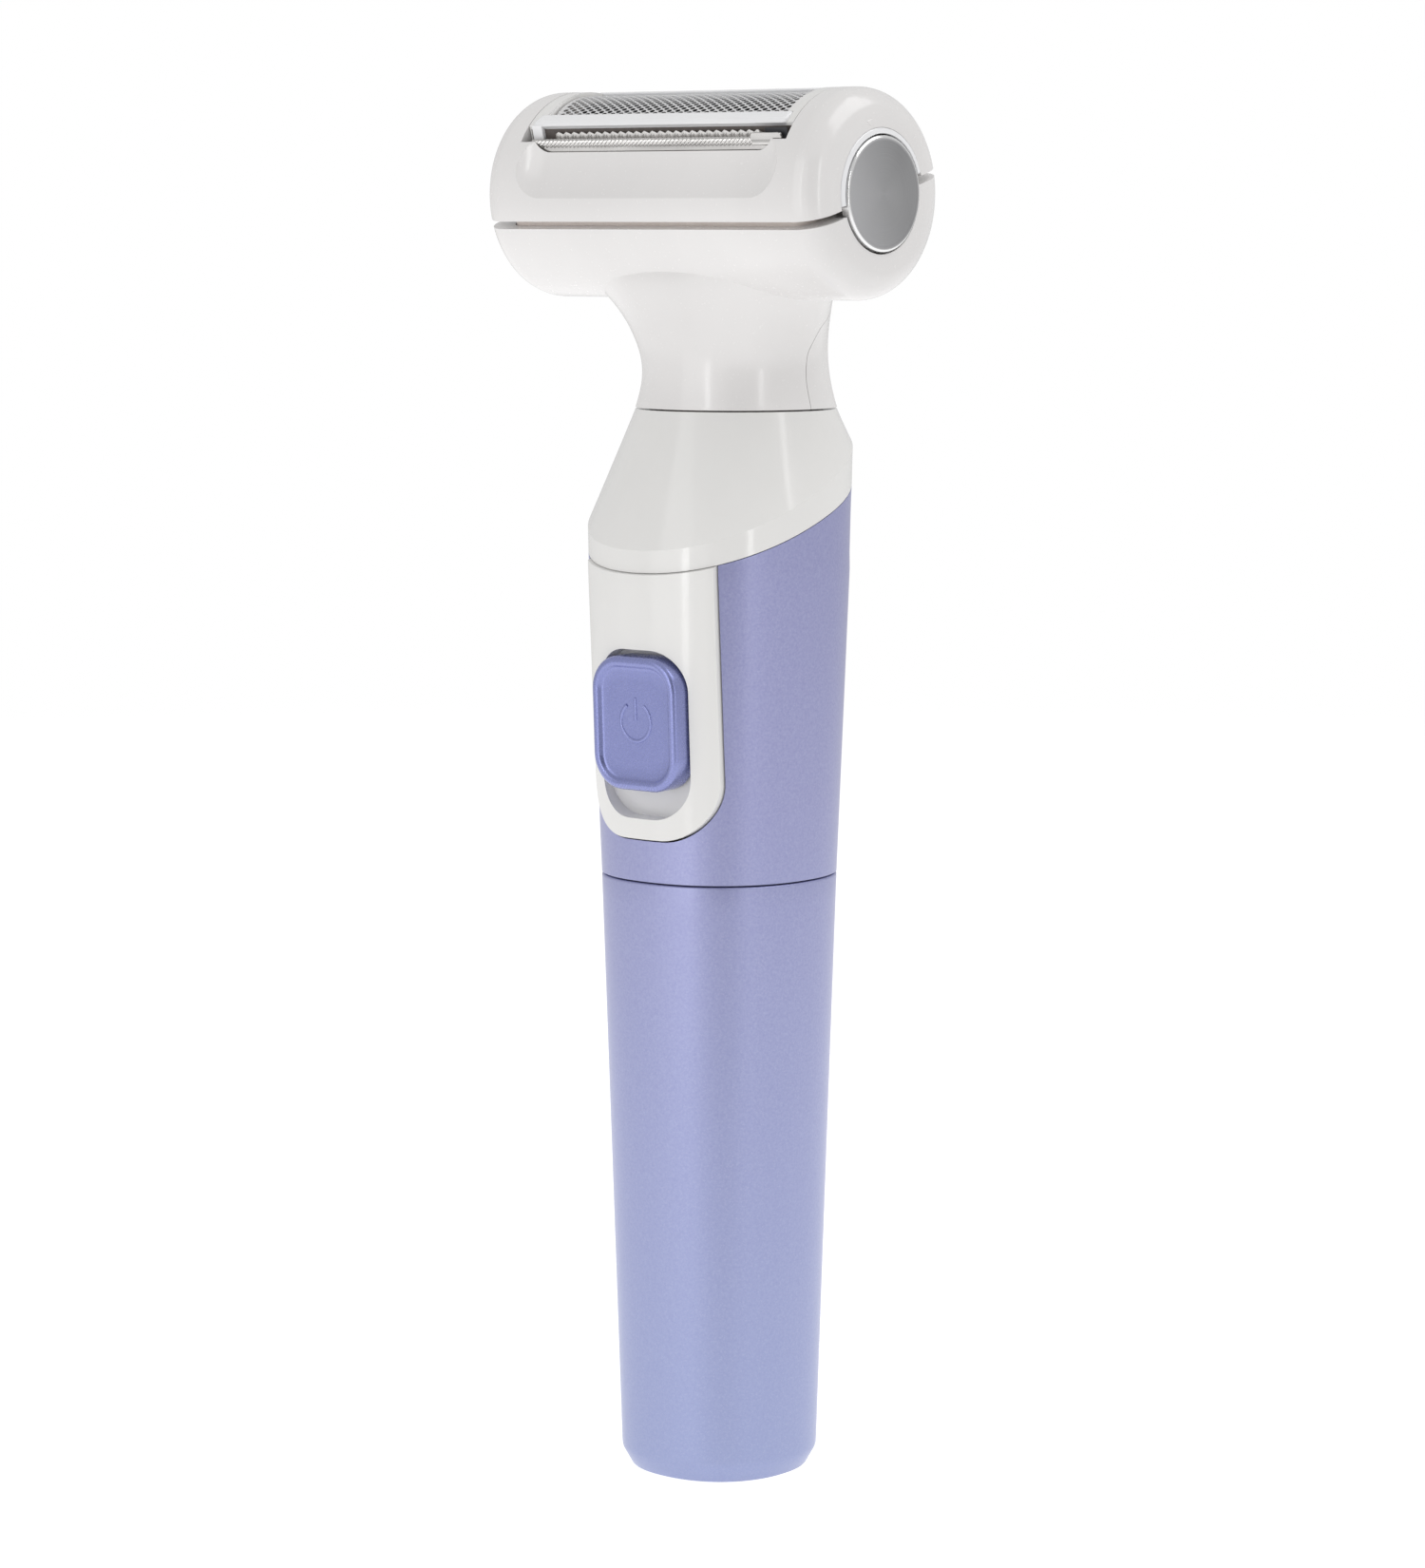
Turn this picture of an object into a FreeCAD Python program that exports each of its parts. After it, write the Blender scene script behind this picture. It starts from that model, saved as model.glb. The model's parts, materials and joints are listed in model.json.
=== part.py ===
"""Cordless foil shaver with a T-shaped head: a tapered handle that runs on one AA cell,
a slide switch, a twist-off neck and a forward-tilted shaving head.

Frame: millimetres, +Z up the handle, origin on the handle's axis at its base,
-Y is the front, where the switch is, and the head's long axis lies along X."""
import FreeCAD, Part
import math
import os

Vec = FreeCAD.Vector

# ---- handle ----
base_half = 10.6            # half width of the foot, across the rounded square
chamfer_half = 11.75        # half width above the foot's bevel
chamfer_height = 2.4
seam_half = 14.04           # half width at the battery sleeve's seam
seam_height = 74.6
shoulder_half = 15.5        # half width where the taper ends
shoulder_height = 112.0
shoulder_growth = 0.02      # half width gained per millimetre above that
squareness = 2.2            # exponent of the rounded square, 2 is a circle
crease_height, crease_slope = 122.1, 0.455       # slanted crease, z = height + slope * y
colour_height, colour_slope = 118.3, 0.385       # slanted edge between shell and shoulder cap
shell_wall = 1.6
seam_gap = 0.2
part_line = 0.1             # visible line between two shells of one body
# ---- neck ----
neck_y = 3.18               # the neck and the motor share this axis
deck_height = 131.45
neck_radius = 12.35
twist_gap = 0.2
neck_wall = 1.5
# ---- head ----
head_y, head_z = -1.9, 157.45
head_tilt = 15.6            # degrees, leaning to the front
head_radius = 12.55
head_half = 26.7
head_round = 3.6
head_wall = 1.5
end_wall = 3.2
lid_gap_low, lid_gap_high = -0.88, 0.07          # the open line around the head
# ---- release buttons ----
disc_radius = 6.85
disc_proud = 0.4
disc_thick = 1.1
disc_gap = 0.25             # between the disc and the base, and disc_gap_lid to the lid
disc_gap_lid = 0.9
scoop_radius = 10.0
scoop_reach = 2.6          # how far the hollow runs past the foil frame, and scoop_run the radius of its ends
scoop_run = 7.0
press_travel = 1.2
stem_radius = 3.0
# ---- switch ----
panel_half = 10.05
panel_bottom = 79.95
panel_proud = 0.35
panel_corner = 7.2
panel_gap = 0.22
knob_half, knob_height = 6.7, 16.3
knob_low = 85.9
knob_corner = 4.2
knob_face = 16.1            # distance of the knob's face from the axis, at its middle
pocket_floor = 12.5
pocket_high, pocket_corner = 103.0, 5.0
knob_travel = 3.1
rim_width, rim_height = 1.35, 0.5
stem_half, stem_low, stem_high = 1.6, 90.5, 97.5
slide_clearance = 0.3
# ---- battery and motor ----
cell_radius, cell_length = 7.1, 49.2
cell_nub_radius, cell_nub = 2.75, 1.2
cell_low = 11.5
motor_radius, motor_flat = 10.05, 7.55
motor_low, motor_high = 91.0, 116.1
shaft_radius = 1.0
running_clearance = 0.05
fit_clearance = 0.1
crank_throw = 1.0
crank_top = 136.0
hub_radius = 3.0
# ---- battery cradle and motor mount ----
cradle_wall, cradle_gap = 1.45, 0.35
cradle_low = 5.5
spigot_low, spigot_radius = seam_height - 10.6, 11.6
seal_low, seal_height = seam_height - 5.6, 1.8
seal_seat = 10.9            # radius of the groove's floor
bulkhead_low, bulkhead_thick = 0.4, 2.0          # above the sleeve's seam
mount_radius = 11.5
strip_thick = 0.35
front_strip = 9.05          # distance of the front contact strips from the axis
plate_low, plate_high = 118.0, 120.0
# ---- deck and bayonet ----
socket_floor, deck_thick, socket_radius = 124.2, 1.6, 9.3
seal_outer = 5.0
lug_radius, lug_half, lug_low, lug_high = 10.3, 1.8, 127.2, 128.6
twist_range = 30            # degrees
bayonet_bore = 7.6
screw_x, screw_radius, screw_head = 7.2, 0.9, 1.5
# ---- drive ----
rocker_height = 145.0       # the rocker's pivot
fork_height = 134.2
pivot_radius = 1.0
pin_front, pin_rear = -2.3, 8.2
well_half, well_front, well_rear = 6.5, -0.95, 7.3
finger_radius = 1.2
stroke, stroke_play = 1.25, 0.3
# ---- shaving parts, in the tilted frame of the head (x, rearward u, upward w) ----
frame_half, frame_reach = 20.9, 6.8
foil_half, foil_radius, foil_centre = 18.7, 9.0, 3.1
foil_reach, foil_thick = 5.9, 0.15
rail_top = 9.3
float_travel = 0.8
cut_clearance = 0.3
core_low = 5.0
guide_x, guide_radius = 9.0, 1.2
spring_radius, spring_wall = 1.9, 0.22
carrier_half = 15.5
comb_u, comb_w, comb_radius = 8.0, 8.55, 0.62
blade_half, blade_top = 16.1, 9.9
tooth_pitch = 1.26          # of the moving blade, the fixed comb has two gaps to each

# ---- sizes that follow from the ones above ----
pocket_low = knob_low - knob_travel - slide_clearance - 0.1
recess_depth = disc_thick - disc_proud + press_travel + slide_clearance
cutter_half = foil_half - 0.6 - stroke - cut_clearance
cutter_reach = foil_reach - 0.6 - cut_clearance
inner_round = head_round - head_wall - part_line

head_axis = Vec(0, head_y, head_z)
neck_axis = Vec(0, neck_y, 0)
x_dir, y_dir, z_dir = Vec(1, 0, 0), Vec(0, 1, 0), Vec(0, 0, 1)


def save(node, shape):
    shape = shape.removeSplitter() if len(shape.Solids) == 1 else shape
    shape.exportStep("parts/" + node + ".step")
    print(node, "valid" if shape.isValid() else "NOT VALID", len(shape.Solids), round(shape.Volume, 2))


def box(x, y, z):
    """Box between two values on each axis."""
    return Part.makeBox(x[1] - x[0], y[1] - y[0], z[1] - z[0], Vec(x[0], y[0], z[0]))


def rod(radius, low, high, centre=neck_axis):
    """Upright cylinder between two heights."""
    return Part.makeCylinder(radius, high - low, Vec(centre.x, centre.y, low), z_dir)


def tube(outer, inner, low, high, centre=neck_axis):
    return rod(outer, low, high, centre).cut(rod(inner, low - 1, high + 1, centre))


def bar_x(radius, low, high, u=0, w=0):
    """Cylinder along X."""
    return Part.makeCylinder(radius, high - low, Vec(low, u, w), x_dir)


def fuse(shapes):
    return shapes[0].fuse(shapes[1:]) if len(shapes) > 1 else shapes[0]


def in_head(shape):
    """Moves a shape from the head's own frame to its place."""
    placed = shape.copy()
    placed.rotate(Vec(0, 0, 0), x_dir, head_tilt)
    placed.translate(head_axis)
    return placed


def mirrored(shape, normal):
    return shape.mirror(Vec(0, 0, 0), normal)


def closed_curve(points):
    curve = Part.BSplineCurve()
    curve.interpolate(Points=points, PeriodicFlag=True)
    return Part.Wire([curve.toShape()])


def polygon(points, depth):
    """Prism with its outline in the YZ plane, centred on X."""
    outline = [Vec(-depth / 2, y, z) for y, z in points]
    return Part.Face(Part.makePolygon(outline + outline[:1])).extrude(Vec(depth, 0, 0))


# ---- handle shells ----
def half_width(z):
    if z > shoulder_height:
        return shoulder_half + shoulder_growth * (z - shoulder_height)
    stations = [(0, base_half), (chamfer_height, chamfer_half), (seam_height, seam_half),
                (shoulder_height, shoulder_half)]
    for (z0, a0), (z1, a1) in zip(stations, stations[1:]):
        if z <= z1:
            return a0 + (a1 - a0) * (z - z0) / (z1 - z0)


def turn_points(count=32):
    """Cosine and sine of the rounded square, raised to its exponent."""
    for i in range(count):
        t = 2 * math.pi * (i + 0.5) / count
        c, s = math.cos(t), math.sin(t)
        yield (math.copysign(abs(c) ** (2 / squareness), c),
               math.copysign(abs(s) ** (2 / squareness), s), t)


def level_section(z, inset):
    a = half_width(z) - inset
    return closed_curve([Vec(a * c, a * s, z) for c, s, t in turn_points()])


def slanted_section(height, slope, inset):
    """Section of the widening part by the plane z = height + slope * y."""
    points = []
    at_zero = shoulder_half - shoulder_growth * shoulder_height - inset
    for c, s, t in turn_points():
        y = (at_zero + shoulder_growth * height) * s / (1 - shoulder_growth * slope * s)
        z = height + slope * y
        a = at_zero + shoulder_growth * z
        points.append(Vec(a * c, a * s, z))
    return closed_curve(points)


def deck_section(inset, z):
    r = neck_radius - inset
    return closed_curve([Vec(r * math.cos(t), neck_y + r * math.sin(t), z) for c, s, t in turn_points()])


def handle_solid(inset, low):
    """The whole handle pulled in by inset, from the height low up to the deck."""
    heights = [low] + [z for z in (chamfer_height, seam_height, shoulder_height) if z > low]
    wires = [level_section(z, inset) for z in heights]
    wires.append(slanted_section(crease_height, crease_slope, inset))
    wires.append(deck_section(inset, deck_height))
    return Part.makeLoft(wires, True, True)


def below_slant(height, slope):
    """Everything under the plane z = height + slope * y."""
    reach = 40
    return polygon([(-reach, height - slope * reach), (reach, height + slope * reach),
                    (reach, -10), (-reach, -10)], 2 * reach)


def rounded_plate(half, low, high, corner, y_front, y_back):
    """Upright plate with rounded corners, facing the front."""
    plate = box((-half, half), (y_front, y_back), (low, high))
    upright = [e for e in plate.Edges if abs(e.tangentAt(e.FirstParameter).y) > 0.99]
    return plate.makeFillet(corner, upright)


def lean(shape):
    """Leans a shape to the taper of the handle's front, about the knob's middle."""
    middle = Vec(0, -knob_face, knob_low + knob_height / 2)
    rise = (shoulder_half - seam_half) / (shoulder_height - seam_height)
    leaned = shape.copy()
    leaned.rotate(middle, x_dir, math.degrees(math.atan(rise)))
    return leaned


def panel_opening(grow):
    """The outline of the switch panel, run up through the shoulder."""
    return rounded_plate(panel_half + grow, panel_bottom - grow, deck_height + 20, panel_corner + grow, -40, 0)


outer = handle_solid(0, 0)
inner = handle_solid(shell_wall, shell_wall)
shell_zone = below_slant(colour_height - part_line, colour_slope)
above_seam = box((-40, 40), (-40, 40), (seam_height + seam_gap / 2, 200))
below_seam = box((-40, 40), (-40, 40), (-1, seam_height - seam_gap / 2))


def grip_shell():
    shell = outer.cut(inner).common(above_seam).common(shell_zone)
    return shell.cut(panel_opening(panel_gap))


def battery_sleeve():
    return outer.cut(inner).common(below_seam)


def switch_panel():
    proud = handle_solid(-panel_proud, seam_height)
    deep = handle_solid(shell_wall + 1.6, seam_height - 5)
    panel = proud.cut(deep).common(panel_opening(0)).common(shell_zone)
    pocket = lean(rounded_plate(knob_half + slide_clearance, pocket_low, pocket_high, pocket_corner,
                                -30, -pocket_floor))
    stem_slot = lean(box((-stem_half - slide_clearance, stem_half + slide_clearance), (-20, 0),
                         (stem_low - knob_travel - slide_clearance, stem_high + slide_clearance)))
    return panel.cut(pocket).cut(stem_slot)


def shoulder_cap():
    cap = outer.cut(below_slant(colour_height, colour_slope))
    hollow = inner.common(box((-40, 40), (-40, 40), (0, socket_floor)))
    cap = cap.cut(hollow).cut(rod(socket_radius, socket_floor + deck_thick, deck_height + 1))
    cap = cap.cut(rod(seal_outer, socket_floor - 1, deck_height))
    groove = rod(lug_radius + slide_clearance, lug_low - slide_clearance, lug_high + slide_clearance)
    cap = cap.cut(groove)
    for side in (-1, 1):
        entry = box((-lug_half - slide_clearance, lug_half + slide_clearance),
                    (0, lug_radius + slide_clearance), (lug_low - slide_clearance, deck_height + 1))
        entry.rotate(Vec(0, 0, 0), z_dir, side * 90 + twist_range)
        entry.translate(neck_axis)
        cap = cap.cut(entry)
        cap = cap.cut(rod(screw_radius, socket_floor - 1, deck_height, Vec(side * screw_x, neck_y, 0)))
    return cap


# ---- inside the handle ----
def motor_shape(grow, low, high):
    body = rod(motor_radius + grow, low, high)
    return body.common(box((-30, 30), (neck_y - motor_flat - grow, neck_y + motor_flat + grow), (low, high)))


def chassis():
    room = handle_solid(shell_wall + part_line, shell_wall + 2)
    origin = Vec(0, 0, 0)
    cradle_radius = cell_radius + cradle_gap + cradle_wall
    cradle = tube(cradle_radius, cell_radius + cradle_gap, cradle_low, seam_height - 1, origin)
    cradle = cradle.fuse(rod(cradle_radius, cradle_low, cradle_low + 1.1, origin))
    cradle = cradle.cut(box((-6.2, 6.2), (-20, -2.5), (cradle_low + 4, cell_low + cell_length + 1.8)))
    spigot = tube(spigot_radius, cell_radius + 1, spigot_low, seam_height + bulkhead_low + 0.1, origin)
    spigot = spigot.cut(tube(spigot_radius + 1, seal_seat, seal_low, seal_low + seal_height, origin))
    bulkhead_top = seam_height + bulkhead_low + bulkhead_thick
    bulkhead = room.common(box((-40, 40), (-40, 40), (seam_height + bulkhead_low, bulkhead_top)))
    carrier = rod(mount_radius, bulkhead_top, plate_high).cut(motor_shape(fit_clearance, motor_low, plate_low))
    carrier = carrier.cut(rod(9.0, bulkhead_top, motor_low)).cut(box((-20, 20), (-20, -1.5), (70, plate_low)))
    posts = [rod(2.3, plate_high - 0.5, socket_floor - 0.05, Vec(s * screw_x, neck_y, 0)) for s in (-1, 1)]
    body = fuse([cradle, spigot, bulkhead, carrier] + posts)
    body = body.cut(rod(hub_radius + 0.6, plate_low - 1, plate_high + 1))
    for s in (-1, 1):
        body = body.cut(rod(screw_radius - 0.2, plate_low + 0.6, socket_floor + 1, Vec(s * screw_x, neck_y, 0)))
    foot = cradle_low + 1.1
    body = body.cut(box((-2.3, 2.3), (cradle_radius + 0.05, cradle_radius + 0.7), (cradle_low - 0.5, seam_height + 3)))
    body = body.cut(box((-2.3, 2.3), (3, cell_radius + 3), (foot, foot + 0.7)))
    body = body.cut(box((-3.3, 3.3), (-front_strip - 0.55, -3), (cell_low + cell_length + 1.4, seam_height + 3)))
    return body.common(room.fuse(below_seam))


def seal_ring():
    """Rubber ring in the spigot's groove, clear of the sleeve."""
    return tube(spigot_radius + 0.25, seal_seat, seal_low + fit_clearance,
                seal_low + seal_height - fit_clearance, Vec(0, 0, 0))


def battery():
    low, top = cell_low, cell_low + cell_length
    origin = Vec(0, 0, 0)
    can = rod(cell_radius, low, top, origin)
    can = can.makeFillet(0.6, [e for e in can.Edges if len(e.Vertexes) == 1])
    return can.fuse(rod(cell_nub_radius, top - 1, top + cell_nub, origin))


def spring_coil(radius, wire, low, high, turns):
    """Round wire wound on a helix, squashed to its working length."""
    pitch = (high - low - 2 * wire) / turns
    helix = Part.makeHelix(pitch, pitch * turns, radius)
    section = Part.Wire([Part.makeCircle(wire, Vec(radius, 0, 0), y_dir)])
    coil = Part.Wire(helix.Edges).makePipeShell([section], True, True)
    coil.translate(Vec(0, 0, low + wire))
    return coil


def battery_spring():
    return spring_coil(4.2, 0.35, cradle_low + 1.45, cell_low, 3.5)


def positive_strip():
    top = cell_low + cell_length + cell_nub
    under, over = top + 0.05, top + 0.05 + strip_thick
    plate = box((-3, 3), (-5.5, 3), (under, over))
    riser = box((-2.5, 2.5), (-front_strip - strip_thick, -front_strip), (under, stem_low + 1.5))
    foot = box((-2.5, 2.5), (-front_strip - strip_thick, -5), (under, over))
    return fuse([plate, foot, riser])


def negative_strip():
    back = cell_radius + cradle_gap + cradle_wall + fit_clearance
    floor = cradle_low + 1.15
    riser = box((-2, 2), (back, back + strip_thick), (floor, motor_low - 2))
    foot = box((-2, 2), (-2, back + 0.2), (floor, floor + 0.3))
    return fuse([riser, foot])


def switch_leaf():
    """Upper contact that the slider closes to the lower one, and its run to the motor."""
    top = stem_high + 14.5
    leaf = box((-2.5, 2.5), (-front_strip - strip_thick, -front_strip), (stem_low + 4, top))
    tab = box((-2.5, 2.5), (-front_strip - 0.15, -4.6), (top - strip_thick, top))
    return fuse([leaf, tab])


def motor_can():
    wall = 0.8
    can = motor_shape(0, motor_low + 3.5, motor_high)
    can = can.cut(motor_shape(-wall, motor_low, motor_high - wall))
    boss = rod(3.0, motor_high - 0.2, motor_high + 1.6)
    return can.fuse(boss).cut(rod(shaft_radius + running_clearance, motor_low, 130))


def motor_end_cap():
    cap = motor_shape(0, motor_low, motor_low + 3.4)
    cap = cap.fuse(motor_shape(-0.9, motor_low + 3, motor_low + 4.6))
    cap = cap.cut(rod(4.5, motor_low + 1.2, motor_low + 6))
    return cap.cut(rod(shaft_radius + running_clearance, motor_low - 1, 130))


def motor_terminals():
    tabs = [box((s * 5.5 - 1, s * 5.5 + 1), (neck_y - 0.2, neck_y + 0.2), (motor_low - 3, motor_low)) for s in (-1, 1)]
    return Part.makeCompound(tabs)


def motor_magnets():
    ring = tube(motor_radius - 0.85, 6.9, motor_low + 5.5, motor_high - 2.2)
    halves = [ring.common(box(x, (neck_y - 5, neck_y + 5), (0, 200))) for x in ((2, 20), (-20, -2))]
    return Part.makeCompound(halves)


def armature():
    core = rod(6.4, motor_low + 7.5, motor_high - 3.5)
    for i in range(3):
        slot = box((2.2, 7), (-0.7, 0.7), (0, 200))
        slot.rotate(Vec(0, 0, 0), z_dir, 120 * i + 30)
        slot.translate(neck_axis)
        core = core.cut(slot)
    return core.cut(rod(shaft_radius, 0, 200))


def commutator():
    return tube(2.4, shaft_radius, motor_low + 3.0, motor_low + 6.5)


def motor_shaft():
    return rod(shaft_radius, motor_low - 1.0, 124.5)


def crank():
    """Plastic hub on the shaft, with the off-centre pin that drives the head."""
    hub = rod(hub_radius, 120.6, 128.0).cut(rod(shaft_radius, 110, 124.5))
    pin_axis = Vec(0, neck_y - crank_throw, 0)
    return hub.fuse(rod(shaft_radius, 127.5, crank_top, pin_axis))


def shaft_seal():
    return tube(seal_outer, hub_radius + running_clearance, socket_floor, socket_floor + deck_thick)


def deck_screws():
    screws = []
    for side in (-1, 1):
        centre = Vec(side * screw_x, neck_y, 0)
        head = rod(screw_head, socket_floor + deck_thick, socket_floor + deck_thick + 0.9, centre)
        shank = rod(screw_radius - 0.2, plate_low + 0.7, socket_floor + deck_thick + 0.1, centre)
        cross = box((-1, 1), (-0.2, 0.2), (0, 1))
        cross = cross.fuse(box((-0.2, 0.2), (-1, 1), (0, 1)))
        cross.translate(Vec(centre.x, centre.y, socket_floor + deck_thick + 0.5))
        screws.append(head.fuse(shank).cut(cross))
    return Part.makeCompound(screws)


# ---- switch ----
def switch_knob():
    """Rounded rectangle with a raised rim around a sunken face, on a stem through the panel."""
    body = rounded_plate(knob_half, knob_low, knob_low + knob_height, knob_corner,
                         -knob_face, -pocket_floor - slide_clearance)
    front = [e for e in body.Edges if all(abs(v.Point.y + knob_face) < 1e-6 for v in e.Vertexes)]
    body = body.makeChamfer(0.45, front)
    dish = rounded_plate(knob_half - rim_width, knob_low + rim_width, knob_low + knob_height - rim_width,
                         knob_corner - 1.0, -knob_face - 1, -knob_face + rim_height)
    stem = box((-stem_half, stem_half), (-pocket_floor - 1, -9.9), (stem_low, stem_high))
    return lean(body.cut(dish).fuse(stem))


def slider_contact():
    """Metal bridge on the stem's end."""
    bridge = box((-1.5, 1.5), (-9.9, -9.7), (stem_low - 0.5, stem_high + 0.5))
    return lean(bridge)


# ---- head base ----
def neck_stations():
    """Height, half width in X, half depth in Y and the centre's Y of the waisted neck."""
    low = deck_height + twist_gap
    return [(low, neck_radius, neck_radius, neck_y), (134.0, 11.75, 11.7, neck_y), (136.6, 11.5, 11.35, 3.0),
            (140.0, 12.4, 11.0, 2.2), (144.0, 15.0, 10.2, 0.6), (147.0, 18.0, 9.1, -1.2), (150.0, 21.0, 8.0, -1.9)]


def neck_solid(inset):
    wires = []
    for z, a, b, y in neck_stations():
        points = [Vec((a - inset) * math.cos(t), y + (b - inset) * math.sin(t), z) for c, s, t in turn_points()]
        wires.append(closed_curve(points))
    return Part.makeLoft(wires, True, False)


def barrel(radius, half, rounding):
    """The head's rounded cylinder, in its own frame."""
    body = bar_x(radius, -half, half)
    return body.makeFillet(rounding, [e for e in body.Edges if len(e.Vertexes) == 1])


def rear_zone(grow):
    """Where the neck's rear cover is: behind the side line, which sweeps back near the barrel."""
    front = [(2.6, 120), (2.6, 138.5), (3.6, 141.5), (6.4, 144.3), (9.5, 146.0)]
    outline = [(y - grow, z) for y, z in front] + [(30, 146.0), (30, 120)]
    return polygon(outline, 80)


head_outer = barrel(head_radius, head_half, head_round)
head_inner = barrel(head_radius - head_wall, head_half - end_wall, inner_round)
low_half = box((-60, 60), (-60, 60), (-60, lid_gap_low))
high_half = box((-60, 60), (-60, 60), (lid_gap_high, 60))


def head_base():
    """Lower half of the barrel, the front of the neck and a solid core that carries the rocker's pin."""
    below = in_head(low_half)
    core_low_face = rocker_height - pivot_radius - 0.9
    under_core = box((-60, 60), (-60, 60), (100, core_low_face))
    body = neck_solid(0).fuse(in_head(head_outer)).common(below).cut(in_head(head_inner))
    cover_space = rear_zone(0).cut(in_head(bar_x(head_radius, -60, 60)))
    body = body.cut(cover_space.cut(neck_solid(neck_wall + part_line)))
    body = body.cut(neck_solid(neck_wall).common(under_core))
    body = body.cut(box((-well_half, well_half), (well_front, well_rear), (120, 200)))
    body = body.cut(Part.makeCylinder(pivot_radius, pin_rear - pin_front, Vec(0, pin_front, rocker_height), y_dir))
    for side in (-1, 1):
        recess = bar_x(disc_radius + disc_gap, head_half - recess_depth, head_half + 2)
        stem_hole = bar_x(stem_radius + slide_clearance, head_half - end_wall - 4, head_half + 1)
        tool = recess.fuse(stem_hole)
        body = body.cut(in_head(tool if side > 0 else mirrored(tool, x_dir)))
    return body


def neck_cover():
    """Rear half of the neck, up to the barrel's underside."""
    cover = neck_solid(0).cut(neck_solid(neck_wall))
    cover = cover.common(rear_zone(-part_line))
    return cover.cut(in_head(bar_x(head_radius + part_line, -60, 60)))


def bayonet_ring():
    """Ring under the neck that turns and locks in the handle's deck."""
    seat = deck_height + twist_gap
    ring = tube(socket_radius - slide_clearance, bayonet_bore, lug_low - 0.2, seat + 3.0)
    flange = tube(neck_radius - neck_wall - 0.6, bayonet_bore, seat + fit_clearance, seat + 2.0)
    ring = ring.fuse(flange)
    for side in (-1, 1):
        lug = box((-lug_half, lug_half), (socket_radius - 1.2, lug_radius), (lug_low, lug_high))
        lug.rotate(Vec(0, 0, 0), z_dir, side * 90)
        lug.translate(neck_axis)
        ring = ring.fuse(lug.common(rod(lug_radius, 0, 200)))
    return ring


def rocker_pin():
    return Part.makeCylinder(pivot_radius, pin_rear - pin_front, Vec(0, pin_front, rocker_height), y_dir)


def rocker():
    """Lever that turns the crank's throw into the cutter's stroke."""
    slot = shaft_radius + crank_throw + crank_throw * math.sin(math.radians(twist_range)) + 0.5
    low = fork_height - 1.6
    stem = box((-slot - 1.6, slot + 1.6), (neck_y - 2.2, neck_y + 2.2), (low, rocker_height + 1))
    stem = stem.cut(box((-slot, slot), (-20, 20), (low - 1, crank_top + 0.8)))
    hub = Part.makeCylinder(2.6, 7.4, Vec(0, neck_y - 3.7, rocker_height), y_dir)
    foot = Vec(0, neck_y - 1.2, rocker_height + 1)
    tip = head_axis + Vec(0, -math.sin(math.radians(head_tilt)), math.cos(math.radians(head_tilt))) * 1.9
    finger = Part.makeCylinder(finger_radius, (tip - foot).Length, foot, tip - foot)
    lever = fuse([stem, hub, finger])
    return lever.cut(Part.makeCylinder(pivot_radius + running_clearance, 40, Vec(0, -20, rocker_height), y_dir))


def head_chassis():
    """Inner frame of the head. Its rim shows in the open line, and the cutter slides on its rails."""
    half = head_half - end_wall - 0.15
    tray = barrel(head_radius - head_wall - part_line, half, inner_round)
    tray = tray.common(box((-half, half), (-20, 20), (-4.6, 0.35)))
    tray = tray.cut(box((-half + 1.4, half - 1.4), (-8.7, 8.7), (-3.2, 5)))
    tray = tray.cut(box((-7, 7), (-6.4, 8.0), (-10, 5)))
    for side in (-1, 1):
        x = (half - 4, half + 1) if side > 0 else (-half - 1, -half + 4)
        tray = tray.cut(box(x, (-stem_radius - 0.3, stem_radius + 0.3), (-stem_radius - 0.3, 5)))
    rails = [box((-16, 16), u, (-3.4, -1.0)) for u in ((-6.9, -6.1), (6.1, 6.9))]
    rails = fuse(rails).cut(box((-7.4, 7.4), (-20, 20), (-10, 10)))
    return in_head(tray.fuse(rails))


def head_screws():
    """Two screws that hold the inner frame down in the base."""
    screws = []
    for side in (-1, 1):
        head = Part.makeCylinder(1.5, 1.0, Vec(side * 11, 0, -3.2), z_dir)
        head = head.cut(box((side * 11 - 1, side * 11 + 1), (-0.2, 0.2), (-2.6, 0)))
        screws.append(in_head(head))
    return Part.makeCompound(screws)


# ---- release buttons ----
def release_disc(side):
    """Bright disc, domed a little, on the end of the head."""
    disc = bar_x(disc_radius, head_half + disc_proud - disc_thick, head_half + disc_proud)
    rim = [e for e in disc.Edges if len(e.Vertexes) == 1 and e.CenterOfMass.x > head_half]
    disc = disc.makeFillet(0.3, rim)
    return in_head(disc if side > 0 else mirrored(disc, x_dir))


def release_plunger(side):
    back = head_half + disc_proud - disc_thick
    stem = bar_x(stem_radius, back - 6.4, back)
    tip = bar_x(stem_radius - 1.2, carrier_half + stroke + press_travel + slide_clearance + 0.15, back - 6.3)
    plunger = stem.fuse(tip)
    return in_head(plunger if side > 0 else mirrored(plunger, x_dir))


# ---- lid with the foil frame ----
def scoop(side):
    """Hollow in the lid's long face, with ends that run out like a milled pocket."""
    low_edge = Vec(0, -12.2, 2.9)
    high_edge = Vec(0, -8.75, 7.6)
    chord = high_edge - low_edge
    out = Vec(0, -chord.z, chord.y).normalize()
    centre = (low_edge + high_edge) * 0.5 + out * math.sqrt(scoop_radius ** 2 - (chord.Length / 2) ** 2)
    half = frame_half + scoop_reach
    tool = bar_x(scoop_radius, -half, half, centre.y, centre.z)
    tool = tool.makeFillet(scoop_run, [e for e in tool.Edges if len(e.Vertexes) == 1])
    return tool if side < 0 else mirrored(tool, y_dir)


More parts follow.
